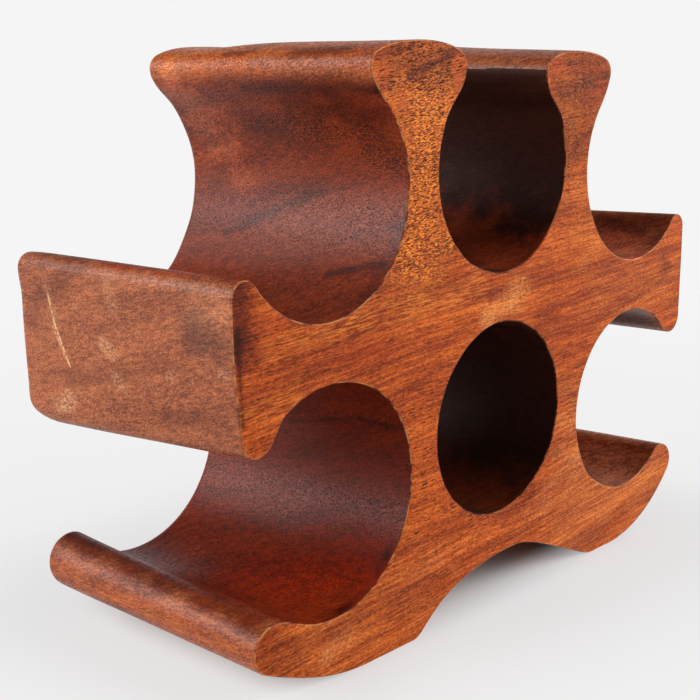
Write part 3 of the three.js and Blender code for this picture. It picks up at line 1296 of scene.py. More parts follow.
LONG_PORES = Pores((6.5, 0.9, 0.9), 0.24, 0.42)
SHORT_PORES = Pores((2.3, 0.85, 0.85), 0.24, 0.44)
CROWDS = Pattern((40.0, 24.0, 7.0), 2.0)
CROWD_NONE = 0.75
CROWD_FULL = 1.1


def open_pores() -> NodeTree:
    """Builds the group for the pores: slim dashes along the fibres, which are specks on end grain.

    Each pore is the middle of a stretched cell. Many long pores are left out, and they crowd in places.

    Returns:
        The group, from Fibres to Long and Short, each 1 in a pore.
    """
    group = NodeGroup("open_pores", {"Fibres": "Vector"}, ("Long", "Short"))
    wiring, taken = group.start()
    fibres = taken["Fibres"]
    long, chance = wiring.pores(fibres, LONG_PORES)
    crowded = wiring.math("ADD", chance, wiring.noise(fibres, CROWDS))
    kept = wiring.ramp(crowded, CROWD_NONE, CROWD_FULL)
    short, _ = wiring.pores(fibres, SHORT_PORES)
    return group.finished(wiring, wiring.math("MULTIPLY", long, kept), short)


RAGGED_EDGE = Pattern((16.0, 12.0, 9.0), 3.0, 0.2, 0.8)
RAGGED_REACH = 0.35
CLOUD_FULL = 0.1
LINE_FULL = 0.4
LINE_GAPS = Pattern((1.6, 1.6, 1.6), 2.0, 0.36, 0.56)
RUBBED_SPECKS = Pattern((1.5, 1.5, 0.9), 3.0, 0.42, 0.66, rough=0.7)
SHORT_GLINTS = Pattern((1.9, 1.3, 0.52), 1.0, 0.46, 0.6)
LONG_STREAKS = Pattern((9.0, 3.0, 0.6), 2.0, 0.46, 0.64)
COMBED_STREAKS = Pattern((1.0, 13.0, 0.9), 3.0, 0.46, 0.64, rough=0.65)
CUT_PORES = Pores((2.6, 0.7, 0.7), 0.26, 0.46)


def mark() -> NodeTree:
    """Builds the group for marks along a line between two places, given in millimetres.

    Returns:
        The group, from Position, Fibres, Start, End and Reach to the masks Cloud (soft), Line (thin and
        broken), Specks (rubbed), Glints (short flecks along the fibres), Streaks (long ones), Combed
        (streaks through the depth) and Dashes (pores that are cut short).
    """
    inputs = {"Position": "Vector", "Fibres": "Vector", "Start": "Vector", "End": "Vector", "Reach": "Float"}
    masks = ("Cloud", "Line", "Specks", "Glints", "Streaks", "Combed", "Dashes")
    group = NodeGroup("mark", inputs, masks)
    wiring, taken = group.start()
    fibres = taken["Fibres"]
    large = wiring.scaled(taken["Position"], 1 / MM)
    from_start = wiring.vector("SUBTRACT", large, taken["Start"])
    whole = wiring.vector("SUBTRACT", taken["End"], taken["Start"])
    along = wiring.measure("DOT_PRODUCT", from_start, whole)
    length = wiring.measure("DOT_PRODUCT", whole, whole)
    share = wiring.node("Clamp", {"Value": wiring.math("DIVIDE", along, length)}).outputs[0]
    away = wiring.measure("DISTANCE", from_start, wiring.scaled(whole, share))
    far = wiring.math("DIVIDE", away, taken["Reach"])
    ragged = wiring.math("ADD", far, wiring.spots(large, RAGGED_EDGE, -RAGGED_REACH, RAGGED_REACH))
    cloud = wiring.fall(ragged, CLOUD_FULL, 1.0)
    line = wiring.math("MULTIPLY", wiring.fall(far, LINE_FULL, 1.0), wiring.spots(large, LINE_GAPS))
    inside = (
        wiring.spots(large, RUBBED_SPECKS),
        wiring.spots(fibres, SHORT_GLINTS),
        wiring.spots(fibres, LONG_STREAKS),
        wiring.spots(large, COMBED_STREAKS),
        wiring.pores(fibres, CUT_PORES)[0],
    )
    return group.finished(wiring, cloud, line, *(wiring.math("MULTIPLY", cloud, mask) for mask in inside))


class Effects:
    """The shared node groups, each built once."""

    def __init__(self) -> None:
        """Builds the groups."""
        self.fibre_space = fibre_space()
        self.growth_layers = growth_layers()
        self.open_pores = open_pores()
        self.mark = mark()


# Finishes

FRONT_FACE = -66.5
PALE_SCUFF = (0.75, 0.38, 0.19)
PALE_SCRATCH = (0.85, 0.46, 0.23)


class MarkKind(Enum):
    """Kinds of mark, each with its mask in the shared group and how it blends into the wood."""

    CLOUD = ("Cloud", "MULTIPLY")
    SCRATCH = ("Line", "MIX")
    SCUFF = ("Specks", "MIX")
    SHIMMER = ("Glints", "MIX")
    STREAKS = ("Streaks", "MIX")
    COMBED = ("Combed", "MIX")
    DASHES = ("Dashes", "MIX")


CLOUD, SCRATCH, SCUFF, SHIMMER, STREAKS, COMBED, DASHES = MarkKind


@dataclass(frozen=True)
class Mark:
    """A mark along a line between two places, in millimetres.

    Attributes:
        kind: The kind of mark.
        start: Where its line starts.
        end: Where its line ends.
        reach: How far it reaches from the line.
        colour: The colour that it blends in.
        share: How much of it shows.
    """

    kind: MarkKind
    start: Place
    end: Place
    reach: float
    colour: Colour
    share: float = 1.0

    def over(self, wiring: Wiring, group: NodeTree, where: dict[str, Source], colour: Source) -> Socket:
        """Blends the mark into a colour.

        Args:
            wiring: The material's wiring.
            group: The shared group for marks.
            where: The place on the rack and in the log, as the group names them.
            colour: The colour under the mark.

        Returns:
            The colour with the mark.
        """
        inputs = {**where, "Start": self.start, "End": self.end, "Reach": self.reach}
        masks = wiring.node("Group", inputs, node_tree=group).outputs
        mask, blend = self.kind.value
        share = wiring.math("MULTIPLY", masks[mask], self.share)
        return wiring.mix(share, colour, (*self.colour, 1), blend)


@dataclass(frozen=True)
class WoodFinish:
    """A wood finish: its colours, how its figure shows and how it shines.

    Attributes:
        name: The material's name.
        deep: Colour of the dark growth layers.
        body: Colour of most of the wood.
        gold: Colour of the light layers.
        pore: Colour inside the pores.
        worn: Colour of worn edges.
        stained: What a hollow's oil and painted shade multiply the colour by, or none.
        figure_marks: Marks in the wood itself, and painted light and shade, under the pores.
        rubs: Marks on the surface, over the pores.
        tilt: How the log lay in the blank, as turns about X, Y and Z in degrees.
        bend: How far slow noise bends the growth layers, in millimetres.
        shares: How much layers, streaks and flecks count.
        pore_shares: How dark the long and the short pores are.
        wear_share: How pale the worn edges are.
        roughness: How dull the surface is.
        shine: Level of the surface's own reflection.
        relief: How strongly pores and streaks show as relief.
    """

    name: str
    deep: Colour
    body: Colour
    gold: Colour
    pore: Colour
    worn: Colour
    stained: Colour | None = None
    figure_marks: tuple[Mark, ...] = ()
    rubs: tuple[Mark, ...] = ()
    tilt: Place = (12.5, 3.5, 0.0)
    bend: float = 16.0
    shares: tuple[float, float, float] = (0.35, 0.3, 0.35)
    pore_shares: tuple[float, float] = (0.7, 0.3)
    wear_share: float = 0.6
    roughness: float = 0.45
    shine: float = 0.28
    relief: float = 0.3

    DARK_TONES = (0.18, 0.5)
    LIGHT_TONES = (0.48, 0.85)
    RUBBED_EDGES = Pattern((9.0, 5.0, 5.0), 3.0, 0.42, 0.62)
    DULL_SPAN = 0.06
    DULL_PITS = 0.3
    RAISED_SHARE = 0.3
    RELIEF_DEPTH = 0.15

    def figured(self, wiring: Wiring, figure: NodeOutputs) -> Socket:
        """Blends the three colours of the wood by its figure.

        Args:
            wiring: The material's wiring.
            figure: What the group of growth layers gives.

        Returns:
            The colour.
        """
        names = ("Layers", "Streaks", "Flecks")
        parts = [wiring.math("MULTIPLY", figure[name], share) for name, share in zip(names, self.shares)]
        tone = wiring.math("ADD", wiring.math("ADD", parts[0], parts[1]), parts[2])
        dark = wiring.mix(wiring.ramp(tone, *self.DARK_TONES), (*self.deep, 1), (*self.body, 1))
        return wiring.mix(wiring.ramp(tone, *self.LIGHT_TONES), dark, (*self.gold, 1))

    def pitted(self, wiring: Wiring, pores: NodeOutputs) -> Socket:
        """Works out how deep in a pore a place is, which is less where the pores are closed.

        Args:
            wiring: The material's wiring.
            pores: What the group of pores gives.

        Returns:
            The mask.
        """
        shares = zip(("Long", "Short"), self.pore_shares)
        long, short = (wiring.math("MULTIPLY", pores[name], share) for name, share in shares)
        calm = wiring.node("Attribute", {}, attribute_name="calm").outputs["Fac"]
        deepest = wiring.math("MAXIMUM", long, short)
        return wiring.math("MULTIPLY", deepest, wiring.math("SUBTRACT", 1.0, calm))

    def material(self, effects: Effects) -> Material:
        """Builds the material.

        Args:
            effects: The shared node groups.

        Returns:
            The material.
        """
        material = bpy.data.materials.new(self.name)
        wiring = Wiring.emptied(material)
        place = wiring.node("TexCoord", {}).outputs["Object"]
        tilt = tuple(math.radians(turn) for turn in self.tilt)
        turning = {"Position": place, "Tilt": tilt, "Bend": self.bend}
        fibres = wiring.node("Group", turning, node_tree=effects.fibre_space).outputs["Fibres"]
        figure = wiring.node("Group", {"Fibres": fibres}, node_tree=effects.growth_layers).outputs
        pores = wiring.node("Group", {"Fibres": fibres}, node_tree=effects.open_pores).outputs
        colour = self.figured(wiring, figure)
        where = {"Position": place, "Fibres": fibres}
        for mark in self.figure_marks:
            colour = mark.over(wiring, effects.mark, where, colour)
        pitted = self.pitted(wiring, pores)
        colour = wiring.mix(pitted, colour, (*self.pore, 1))
        # Hollows are darkened partly by oil and partly as painted shade
        if self.stained:
            stain_and_shade = wiring.node("Attribute", {}, attribute_name="stain_and_shade").outputs["Fac"]
            colour = wiring.mix(stain_and_shade, colour, (*self.stained, 1), "MULTIPLY")
        for mark in self.rubs:
            colour = mark.over(wiring, effects.mark, where, colour)
        wear = wiring.node("Attribute", {}, attribute_name="wear").outputs["Fac"]
        rubbed = wiring.spots(fibres, self.RUBBED_EDGES, 0.0, self.wear_share)
        colour = wiring.mix(wiring.math("MULTIPLY", wear, rubbed), colour, (*self.worn, 1))
        dullest, clearest = self.roughness + self.DULL_SPAN, self.roughness - self.DULL_SPAN
        dull = wiring.ramp(figure["Flecks"], 0.0, 1.0, dullest, clearest)
        open_wood = wiring.math("MAXIMUM", pitted, wear)
        dull = wiring.math("ADD", dull, wiring.math("MULTIPLY", open_wood, self.DULL_PITS))
        raised = wiring.math("ADD", figure["Streaks"], figure["Flecks"])
        height = wiring.math("SUBTRACT", wiring.math("MULTIPLY", raised, self.RAISED_SHARE), pitted)
        relief = {"Height": height, "Strength": self.relief, "Distance": self.RELIEF_DEPTH * MM}
        inputs = {
            "Base Color": colour,
            "Roughness": dull,
            "Normal": wiring.node("Bump", relief).outputs[0],
            "Specular IOR Level": self.shine,
        }
        shader = wiring.node("BsdfPrincipled", inputs)
        wiring.node("OutputMaterial", {"Surface": shader.outputs[0]})
        return material


# Finishes of the rack, with their marks


def on_face(
    kind: MarkKind, start: Spot, end: Spot, reach: float, colour: Colour, share: float = 1.0
) -> Mark:
    """Makes a mark on the front face, from places that are given across and up."""
    places = ((spot[0], FRONT_FACE, spot[1]) for spot in (start, end))
    return Mark(kind, *places, reach, colour, share)


OILED_FACE = WoodFinish(
    name="oiled_planed_face",
    deep=(0.21, 0.03, 0.006),
    body=(0.42, 0.07, 0.01),
    gold=(0.68, 0.15, 0.02),
    pore=(0.05, 0.011, 0.005),
    worn=(0.85, 0.36, 0.1),
    figure_marks=(
        # Left upper post and its head
        on_face(CLOUD, (-62, 190), (-60, 235), 30, (0.94, 0.94, 0.8)),
        on_face(SHIMMER, (-62, 180), (-60, 250), 34, (1.0, 0.3, 0.034), 0.85),
        on_face(DASHES, (-62, 180), (-60, 262), 34, (0.05, 0.01, 0.006), 0.95),
        on_face(CLOUD, (-80, 260), (-48, 256), 16, (0.55, 0.48, 0.46)),
        on_face(CLOUD, (-70, 252), (-36, 262), 3, (0.5, 0.42, 0.4)),
        # Right upper post and its head
        on_face(CLOUD, (56, 225), (66, 252), 30, (0.5, 0.44, 0.42)),
        on_face(CLOUD, (46, 238), (60, 225), 14, (1.12, 1.3, 1.05)),
        on_face(CLOUD, (54, 246), (83, 252), 5, (0.55, 0.46, 0.46)),
        on_face(CLOUD, (36, 246), (44, 246), 5, (0.62, 0.55, 0.52)),
        on_face(CLOUD, (49, 256), (66, 259), 3, (0.7, 0.62, 0.6)),
        on_face(SHIMMER, (50, 215), (62, 256), 26, (0.7, 0.17, 0.03), 0.4),
        on_face(DASHES, (50, 215), (62, 256), 26, (0.06, 0.012, 0.006), 0.6),
        on_face(CLOUD, (57, 218), (70, 224), 4, (0.65, 0.56, 0.56)),
        # Band with both arms
        on_face(CLOUD, (-168, 174), (-169, 152), 20, (0.74, 0.64, 0.62)),
        on_face(CLOUD, (-167, 174), (-169, 154), 10, (0.46, 0.36, 0.34)),
        on_face(DASHES, (-166, 172), (-167, 145), 13, (0.03, 0.008, 0.006), 0.8),
        on_face(CLOUD, (-168.5, 160), (-166.5, 122), 2.2, (0.4, 0.34, 0.36)),
        on_face(CLOUD, (-160, 138), (-100, 142), 26, (0.87, 0.83, 0.85)),
        on_face(STREAKS, (-150, 150), (-104, 152), 9, (0.88, 0.26, 0.04), 0.45),
        on_face(STREAKS, (-104, 152), (-20, 157), 13, (0.9, 0.27, 0.04), 0.5),
        on_face(STREAKS, (-165, 128), (-140, 129), 9, (0.88, 0.26, 0.04), 0.45),
        on_face(CLOUD, (-106, 141), (-86, 142), 13, (0.86, 0.72, 0.7)),
        on_face(CLOUD, (-10, 143), (12, 150), 15, (1.15, 1.35, 1.6)),
        on_face(SHIMMER, (-12, 142), (14, 150), 13, (0.85, 0.36, 0.1), 0.5),
        on_face(CLOUD, (32, 136), (44, 138), 14, (0.72, 0.66, 0.66)),
        # Painted sheen on the right of the band, from the front-right light
        on_face(CLOUD, (85, 143), (150, 140), 28, (1.06, 1.3, 1.7)),
        on_face(CLOUD, (150, 148), (153, 147), 8, (0.55, 0.48, 0.45)),
        # Foot of the right upper post, and the right lower post, with painted sheen from the front-right
        # light
        on_face(CLOUD, (62, 190), (72, 170), 20, (1.08, 1.3, 1.5)),
        on_face(CLOUD, (58, 96), (64, 60), 22, (1.0, 1.22, 1.8)),
        # Base with both lips
        # Painted sheen on the right of the base, from the front-right light
        on_face(CLOUD, (70, 30), (150, 30), 50, (1.12, 1.5, 2.4)),
        on_face(CLOUD, (-40, 36), (30, 32), 24, (1.14, 1.24, 1.5)),
        on_face(CLOUD, (6, 40), (28, 47), 5, (0.7, 0.62, 0.6)),
        # Painted highlight on the lower left of the base
        on_face(CLOUD, (-130, 16), (-60, 22), 38, (1.05, 1.26, 1.6)),
        on_face(CLOUD, (-158, 32), (-144, 20), 13, (0.72, 0.62, 0.62)),
        on_face(DASHES, (-158, 32), (-144, 20), 15, (0.09, 0.018, 0.008), 0.6),
    ),
    rubs=(
        on_face(SCUFF, (-120, 14), (-108, 17), 8, (0.82, 0.4, 0.17), 0.45),
        on_face(SCUFF, (-14, 142), (8, 147), 10, (0.82, 0.38, 0.14), 0.4),
    ),
    shares=(0.3, 0.38, 0.32),
    pore_shares=(0.9, 0.4),
    roughness=0.5,
    shine=0.08,
)
OILED_WALL = WoodFinish(
    name="oiled_carved_wall",
    deep=(0.2, 0.048, 0.018),
    body=(0.4, 0.105, 0.04),
    gold=(0.6, 0.185, 0.066),
    pore=(0.06, 0.016, 0.009),
    worn=(0.85, 0.36, 0.1),
    # Deep red of oil and painted shade in the hollows
    stained=(0.46, 0.15, 0.037),
    figure_marks=(
        # End of the left arm
        Mark(CLOUD, (-171.4, -43, 159), (-170.8, -56, 150), 13, (0.58, 0.64, 0.76)),
        Mark(CLOUD, (-175, 58, 152), (-173.3, 25, 176), 9, (0.66, 0.6, 0.62)),
        Mark(CLOUD, (-173, 33, 126), (-170.8, -38, 142), 5, (0.74, 0.7, 0.7)),
        Mark(CLOUD, (-169.4, -27, 119), (-168.1, -60, 121), 9, (0.7, 0.66, 0.66)),
        # Painted shade on the arm's top, which faces the dark ceiling
        Mark(CLOUD, (-168.5, 10, 179), (-164.5, -66, 179), 7.5, (0.8, 0.44, 0.28)),
        Mark(CLOUD, (-168.9, -66.5, 160), (-167, -66.5, 122), 2.2, (0.4, 0.34, 0.36)),
        # Painted sheen on the upper front of the arm's end
        Mark(CLOUD, (-170.9, -46, 170), (-170.6, -64, 164), 12, (1.1, 1.25, 1.4)),
        # Upper left scoop
        # Painted shadow of the head's overhang on the top of the scoop
        Mark(CLOUD, (-79, 12, 231), (-76, -22, 227), 15, (0.4, 0.38, 0.4)),
        Mark(CLOUD, (-77, -42, 232), (-71, -62, 216), 13, (0.45, 0.4, 0.4)),
        Mark(SHIMMER, (-90, 10, 243), (-74, -60, 214), 26, (0.72, 0.2, 0.055), 0.85),
        Mark(DASHES, (-90, 10, 243), (-74, -60, 214), 26, (0.03, 0.007, 0.005), 0.7),
        Mark(CLOUD, (-75, 58, 214), (-74, 36, 208), 17, (1.6, 1.9, 2.1)),
        Mark(CLOUD, (-93, 50, 244), (-81, 42, 231), 19, (1.7, 2.0, 2.1)),
        # Painted shade just under the crease of the head's tip
        Mark(CLOUD, (-84, -14, 239), (-80, -59, 236), 11, (0.62, 0.57, 0.57)),
        Mark(CLOUD, (-79.5, 36, 180), (-71.4, -16, 202), 4.5, (0.6, 0.58, 0.62)),
        Mark(CLOUD, (-73.6, 50, 202), (-73.4, 43, 205), 8, (0.6, 0.58, 0.64)),
        Mark(CLOUD, (-86, -36, 168.5), (-80.5, -61, 174), 4, (0.42, 0.38, 0.38)),
        Mark(CLOUD, (-93, -63, 163), (-73, -64, 190), 7, (0.62, 0.5, 0.5)),
        # Lower left scoop
        Mark(CLOUD, (-70.7, 4, 92), (-72.9, -41, 101.5), 2.6, (0.5, 0.45, 0.45)),
        Mark(CLOUD, (-72.9, -41, 101.5), (-71.5, -66, 100.5), 2.6, (0.5, 0.45, 0.45)),
        Mark(CLOUD, (-116, -10, 28), (-82, -56, 42), 28, (1.35, 1.0, 0.7)),
        Mark(DASHES, (-130, -10, 30), (-84, -56, 40), 30, (0.04, 0.007, 0.003), 0.45),
        Mark(CLOUD, (-110, -63, 28), (-78, -63, 46), 3.5, (0.34, 0.28, 0.28)),
        # Left lip
        Mark(COMBED, (-168, 45, 31), (-165, -52, 26), 6, (0.78, 0.24, 0.045), 0.6),
        Mark(CLOUD, (-160, 58, 46), (-154, -60, 38), 11, (0.45, 0.28, 0.22)),
        Mark(COMBED, (-163, 58, 43), (-157, -60, 37), 9, (0.09, 0.017, 0.007), 0.6),
        Mark(CLOUD, (-164, 60, 34), (-160, -62, 28), 18, (1.0, 0.8, 0.66)),
        Mark(CLOUD, (-166, 35, 23), (-160, -50, 18), 5, (0.78, 0.66, 0.62)),
        # Outer tip of the left head
        Mark(CLOUD, (-92, 60, 262), (-86, -62, 264), 16, (1.35, 0.95, 0.45)),
        Mark(STREAKS, (-93, 62, 260), (-88, -50, 263), 9, (0.85, 0.24, 0.03), 0.6),
        Mark(DASHES, (-92, 62, 261), (-86, -62, 264), 13, (0.05, 0.011, 0.005), 0.8),
        Mark(CLOUD, (-91, -24, 262), (-88, -48, 263), 9, (0.42, 0.33, 0.3)),
        Mark(CLOUD, (-93.5, 18, 261), (-92, 4, 263), 4, (0.5, 0.4, 0.36)),
        # Painted shade in the crease under the tip
        Mark(CLOUD, (-92, 8, 246.5), (-88.5, -64, 246.5), 6, (0.42, 0.36, 0.36)),
        Mark(CLOUD, (-99.5, 58, 251), (-97, 31, 249), 9, (1.25, 1.3, 1.2)),
        # Right arm, both right scoops and the arch
        # Painted shade on the underside of the right arm
        Mark(CLOUD, (152, 20, 113), (146, -50, 118), 24, (0.25, 0.2, 0.2)),
        Mark(CLOUD, (156, -20, 172), (150, -50, 166), 7, (0.5, 0.42, 0.42)),
        # Painted light on the floor of the upper right scoop
        Mark(CLOUD, (142, -40, 160), (124, -64, 156), 20, (1.9, 1.7, 1.7)),
        # Painted shade inside the arch
        Mark(CLOUD, (24, -50, 22), (64, 40, 12), 26, (0.22, 0.16, 0.16)),
        # Painted light on the floor of the lower right scoop
        Mark(CLOUD, (140, -40, 33), (124, -60, 29), 20, (1.4, 1.6, 1.9)),
    ),
    rubs=(
        # Upper left scoop
        Mark(SCUFF, (-93, 54, 243), (-79, 46, 226), 18, (0.42, 0.18, 0.1), 0.6),
        # End of the left arm
        Mark(SCRATCH, (-174.9, 45, 165), (-174.3, 41, 149.6), 0.9, PALE_SCRATCH, 0.8),
        Mark(SCRATCH, (-174.3, 41, 149.6), (-173.4, 32.7, 132), 0.9, PALE_SCRATCH, 0.95),
        Mark(SCRATCH, (-174.3, 42.3, 148), (-173.6, 35.4, 135.5), 0.7, PALE_SCRATCH, 0.7),
        Mark(SCUFF, (-174.7, 44, 164), (-174.3, 41, 150), 4.5, PALE_SCUFF, 0.5),
        Mark(SCUFF, (-173.6, 5, 171), (-173.1, 1, 161), 6.5, PALE_SCUFF, 0.5),
        Mark(SCUFF, (-173.1, 10, 146), (-172.8, 4, 142), 5, (0.8, 0.42, 0.21), 0.8),
        Mark(SCUFF, (-172.3, 3, 132), (-172, 0, 127), 4.5, PALE_SCUFF, 0.65),
        Mark(SCUFF, (-170.8, -29, 136), (-170.8, -32, 138), 3.5, PALE_SCUFF, 0.5),
        Mark(SCUFF, (-170.2, -58, 142), (-170.2, -62, 141), 5, PALE_SCUFF, 0.5),
        Mark(SCUFF, (-172.7, 43, 113), (-172.6, 35, 117), 6.5, (0.82, 0.45, 0.23), 0.85),
    ),
    shares=(0.28, 0.34, 0.38),
    pore_shares=(0.7, 0.55),
    roughness=0.4,
    shine=0.25,
)
# The bores' dark colours are painted shade deep inside them, with painted light on their floors
BORE_PAINTED_SHADE = WoodFinish(
    name="oiled_dark_bore",
    deep=(0.024, 0.005, 0.002),
    body=(0.036, 0.007, 0.003),
    gold=(0.05, 0.01, 0.004),
    pore=(0.016, 0.004, 0.002),
    worn=(0.6, 0.2, 0.06),
    figure_marks=(
        # Painted light on the floors of the closed bore and the open place
        Mark(CLOUD, (10, -60, 46), (22, 60, 52), 30, (3.6, 2.6, 1.4)),
        Mark(CLOUD, (20, -60, 164), (34, 60, 174), 46, (3.1, 2.65, 2.25)),
        Mark(CLOUD, (22, -60, 166), (34, 60, 174), 28, (3.1, 2.65, 2.25)),
    ),
    shares=(0.2, 0.4, 0.4),
    pore_shares=(0.4, 0.3),
    roughness=0.55,
    shine=0.12,
    relief=0.15,
)
BARE_JOINT = WoodFinish(
    name="bare_glued_face",
    deep=(0.33, 0.14, 0.07),
    body=(0.5, 0.24, 0.12),
    gold=(0.62, 0.33, 0.17),
    pore=(0.2, 0.08, 0.04),
    worn=(0.62, 0.33, 0.17),
    roughness=0.75,
)
BARE_DOWEL = WoodFinish(
    name="bare_fluted_dowel",
    deep=(0.5, 0.33, 0.18),
    body=(0.62, 0.46, 0.27),
    gold=(0.72, 0.56, 0.36),
    pore=(0.4, 0.26, 0.14),
    worn=(0.72, 0.56, 0.36),
    tilt=(0.0, 90.0, 0.0),
    bend=6.0,
    pore_shares=(0.4, 0.2),
    roughness=0.7,
)


# Dowels


@dataclass(frozen=True)
class Dowels:
    """The fluted dowels in the glued joints, and the blind holes that they sit in."""

    joints: tuple[str, ...] = ("base", "middle", "upper")
    ends: tuple[str, ...] = ("front", "rear")
    room: float = 0.3
    sides: int = 32

    def names(self) -> list[str]:
        """Gives the dowels' names in the frame."""
        places = product(self.joints, Side, self.ends)
        return [f"{joint}_{side.word}_{end}_dowel" for joint, side, end in places]

    def holes(self) -> Object:
        """Makes all the holes as one object of closed cylinders, each a circle carried along its dowel.

        Returns:
            The object that the boards are drilled with.
        """
        turn = np.linspace(0, 2 * math.pi, self.sides, endpoint=False)
        circle = np.stack([np.cos(turn), np.sin(turn)], axis=-1)
        rings, faces = [], []
        for name in self.names():
            low, high = (np.array(corner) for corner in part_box(name))
            rim = (low[:2] + high[:2]) / 2 + ((high[0] - low[0]) / 2 + self.room * MM) * circle
            first = len(rings) * self.sides + np.arange(self.sides)
            after = np.roll(first, -1)
            for height in (low[2] - self.room * MM, high[2] + self.room * MM):
                rings.append(np.column_stack([rim, np.full(self.sides, height)]))
            faces += np.stack([first, after, after + self.sides, first + self.sides], axis=-1).tolist()
            faces += [first[::-1].tolist(), (first + self.sides).tolist()]
        mesh = bpy.data.meshes.new("dowel_holes")
        mesh.from_pydata(np.concatenate(rings), [], faces)
        return linked("dowel_holes", mesh)

    def dress(self, effects: Effects) -> None:
        """Gives the frame's own dowels their finish.

        Args:
            effects: The shared node groups.
        """
        bare = BARE_DOWEL.material(effects)
        for name in self.names():
            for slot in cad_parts[name].material_slots:
                slot.material = bare
            log.info("%s: dressed", name)


# Boards


@dataclass(frozen=True)
class Boards:
    """The six carved boards, with the sizes of each side as its carver left them.

    Attributes:
        thickness: How the boards go back.
        board_steps: Points across the base board and the middle board.
        post_steps: Points across a post.
        left: Sizes of the left side.
        right: Sizes of the right side.
        head_dent: The dent in the left head.
        upper_left_floor: How much deeper the floor of that scoop is than drawn.
        upper_right_floor: The same for the upper right scoop.
        lower_left_roof: How much higher the roof of that scoop is than drawn.
        lower_right_floor: How much deeper the floor of that scoop is than drawn.
        gouge_skin: Depth into the wood at which a gouge moves nothing any more.
        crease_skin: The same for a crease.
    """

    thickness: Thickness = Thickness()
    board_steps: int = 25
    post_steps: int = 17
    left: SideSizes = SideSizes(
        side=Side.LEFT,
        head_cap=Run(9.6, 8.8),
        horn_rise=Run(22.6, 22.8, corner=-1.5),
        arm_hang=Run(20.5, 26.5, corner=-7),
        arm_undercut=Run(6, 3.5),
        arm_pull=Run(0, 2.3),
        lip_rise=Run(8.8, 18),
        lip_tip=Run(10.6, 12.6),
        lip_pull=Run(-4.7, 7),
        lip_bore_ease=math.radians(13),
        lip_tip_ease=math.radians(36),
        lip_under_turn=math.radians(64),
        head_reach=Run(-5.8, -3.8),
        head_inner_reach=-1.9,
        foot_inset=21.5,
        foot_width=31,
        arch_fullness=0.77,
    )
    right: SideSizes = SideSizes(
        side=Side.RIGHT,
        head_cap=Run(6.4, 10.1),
        horn_rise=Run(20, 16),
        arm_hang=Run(18.5, 20.5),
        arm_undercut=Run(2, 2),
        arm_pull=Run(0, 0),
        lip_rise=Run(17, 13),
        lip_tip=Run(10.5, 10.5),
        lip_pull=Run(1.5, 1.5),
        lip_bore_ease=math.radians(6),
        lip_tip_ease=math.radians(15),
        lip_under_turn=math.radians(42),
        head_reach=Run(-6.1, -2.9),
        head_inner_reach=0.5,
        foot_inset=14,
        foot_width=16.5,
        arch_fullness=0.28,
    )
    head_dent: Dent = Dent(place=(-66, 44), reach=(14, 16), deep=1.8)
    upper_left_floor: Run = Run(0, 5.2)
    upper_right_floor: Run = Run(0, 3.2)
    lower_left_roof: Run = Run(1.7, 1.7)
    lower_right_floor: Run = Run(-2.6, -2.6)
    gouge_skin: float = 19.0
    crease_skin: float = 8.0

    def layers(self) -> Layers:
        """Takes the depth from the frame and gives the layers through it."""
        low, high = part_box("base_board")
        return self.thickness.layers(low.y / MM, high.y / MM)

    def sizes(self) -> RackSizes:
        """Takes the glue lines from the frame and gives the sizes that both sides share."""
        base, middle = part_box("base_board"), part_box("middle_board")
        return RackSizes(base[1].z / MM, middle[0].z / MM, middle[1].z / MM)

    @staticmethod
    def across(left: Array, right: Array) -> Array:
        """Joins a left and a right half into one edge from left to right."""
        return np.concatenate([Side.LEFT.placed(left)[:, ::-1], Side.RIGHT.placed(right)[:, 1:]], axis=1)

    def lofts(self, sizes: RackSizes, layers: Layers) -> list[Loft]:
        """Lays out the six boards, named as the frame's nodes are.

        Args:
            sizes: The sizes that both sides share.
            layers: The layers through the depth.

        Returns:
            The boards' lofts.
        """
        left, right = (SideOutline(sizes, own, layers) for own in (self.left, self.right))
        halves = {
            "base_board": (SideOutline.base_upper, SideOutline.base_lower),
            "middle_board": (SideOutline.middle_upper, SideOutline.middle_lower),
        }
        lofts = [
            Loft(name, *(self.across(edge(left), edge(right)) for edge in pair), layers, self.board_steps)
            for name, pair in halves.items()
        ]
        for outline in (left, right):
            side = outline.own.side
            for name, edges in (("lower", outline.lower_post()), ("upper", outline.upper_post())):
                placed = (side.placed(edge) for edge in edges)
                lofts.append(Loft(f"{name}_{side.word}_post", *placed, layers, self.post_steps))
        return lofts

    def gouges(self, sizes: RackSizes) -> tuple[Gouge, ...]:
        """Lists the hollows that differ from the drawn ones."""
        listed = (
            (Side.LEFT, sizes.upper_bore, -1, self.upper_left_floor),
            (Side.RIGHT, sizes.upper_bore, -1, self.upper_right_floor),
            (Side.LEFT, sizes.lower_bore, 1, self.lower_left_roof),
            (Side.RIGHT, sizes.lower_bore, -1, self.lower_right_floor),
        )
        return tuple(Gouge(side, centre, way, self.gouge_skin, run) for side, centre, way, run in listed)

    def undercuts(self, sizes: RackSizes, layers: Layers) -> tuple[Undercut, ...]:
        """Finds the creases under the four tips of the heads, on the front layer.

        Args:
            sizes: The sizes that both sides share.
            layers: The layers through the depth.

        Returns:
            The creases.
        """
        found = []
        for own in (self.left, self.right):
            outline = SideOutline(sizes, own, layers)
            for centre, tip, way in (
                (sizes.upper_bore, outline.outer_tip_place(), 1),
                (sizes.open_bore, outline.inner_tip_place(), -1),
            ):
                angle = math.atan2(tip[1][0, 0] - centre[1], tip[0][0, 0] - centre[0])
                found.append(Undercut(own.side, centre, way, self.crease_skin, angle))
        return tuple(found)

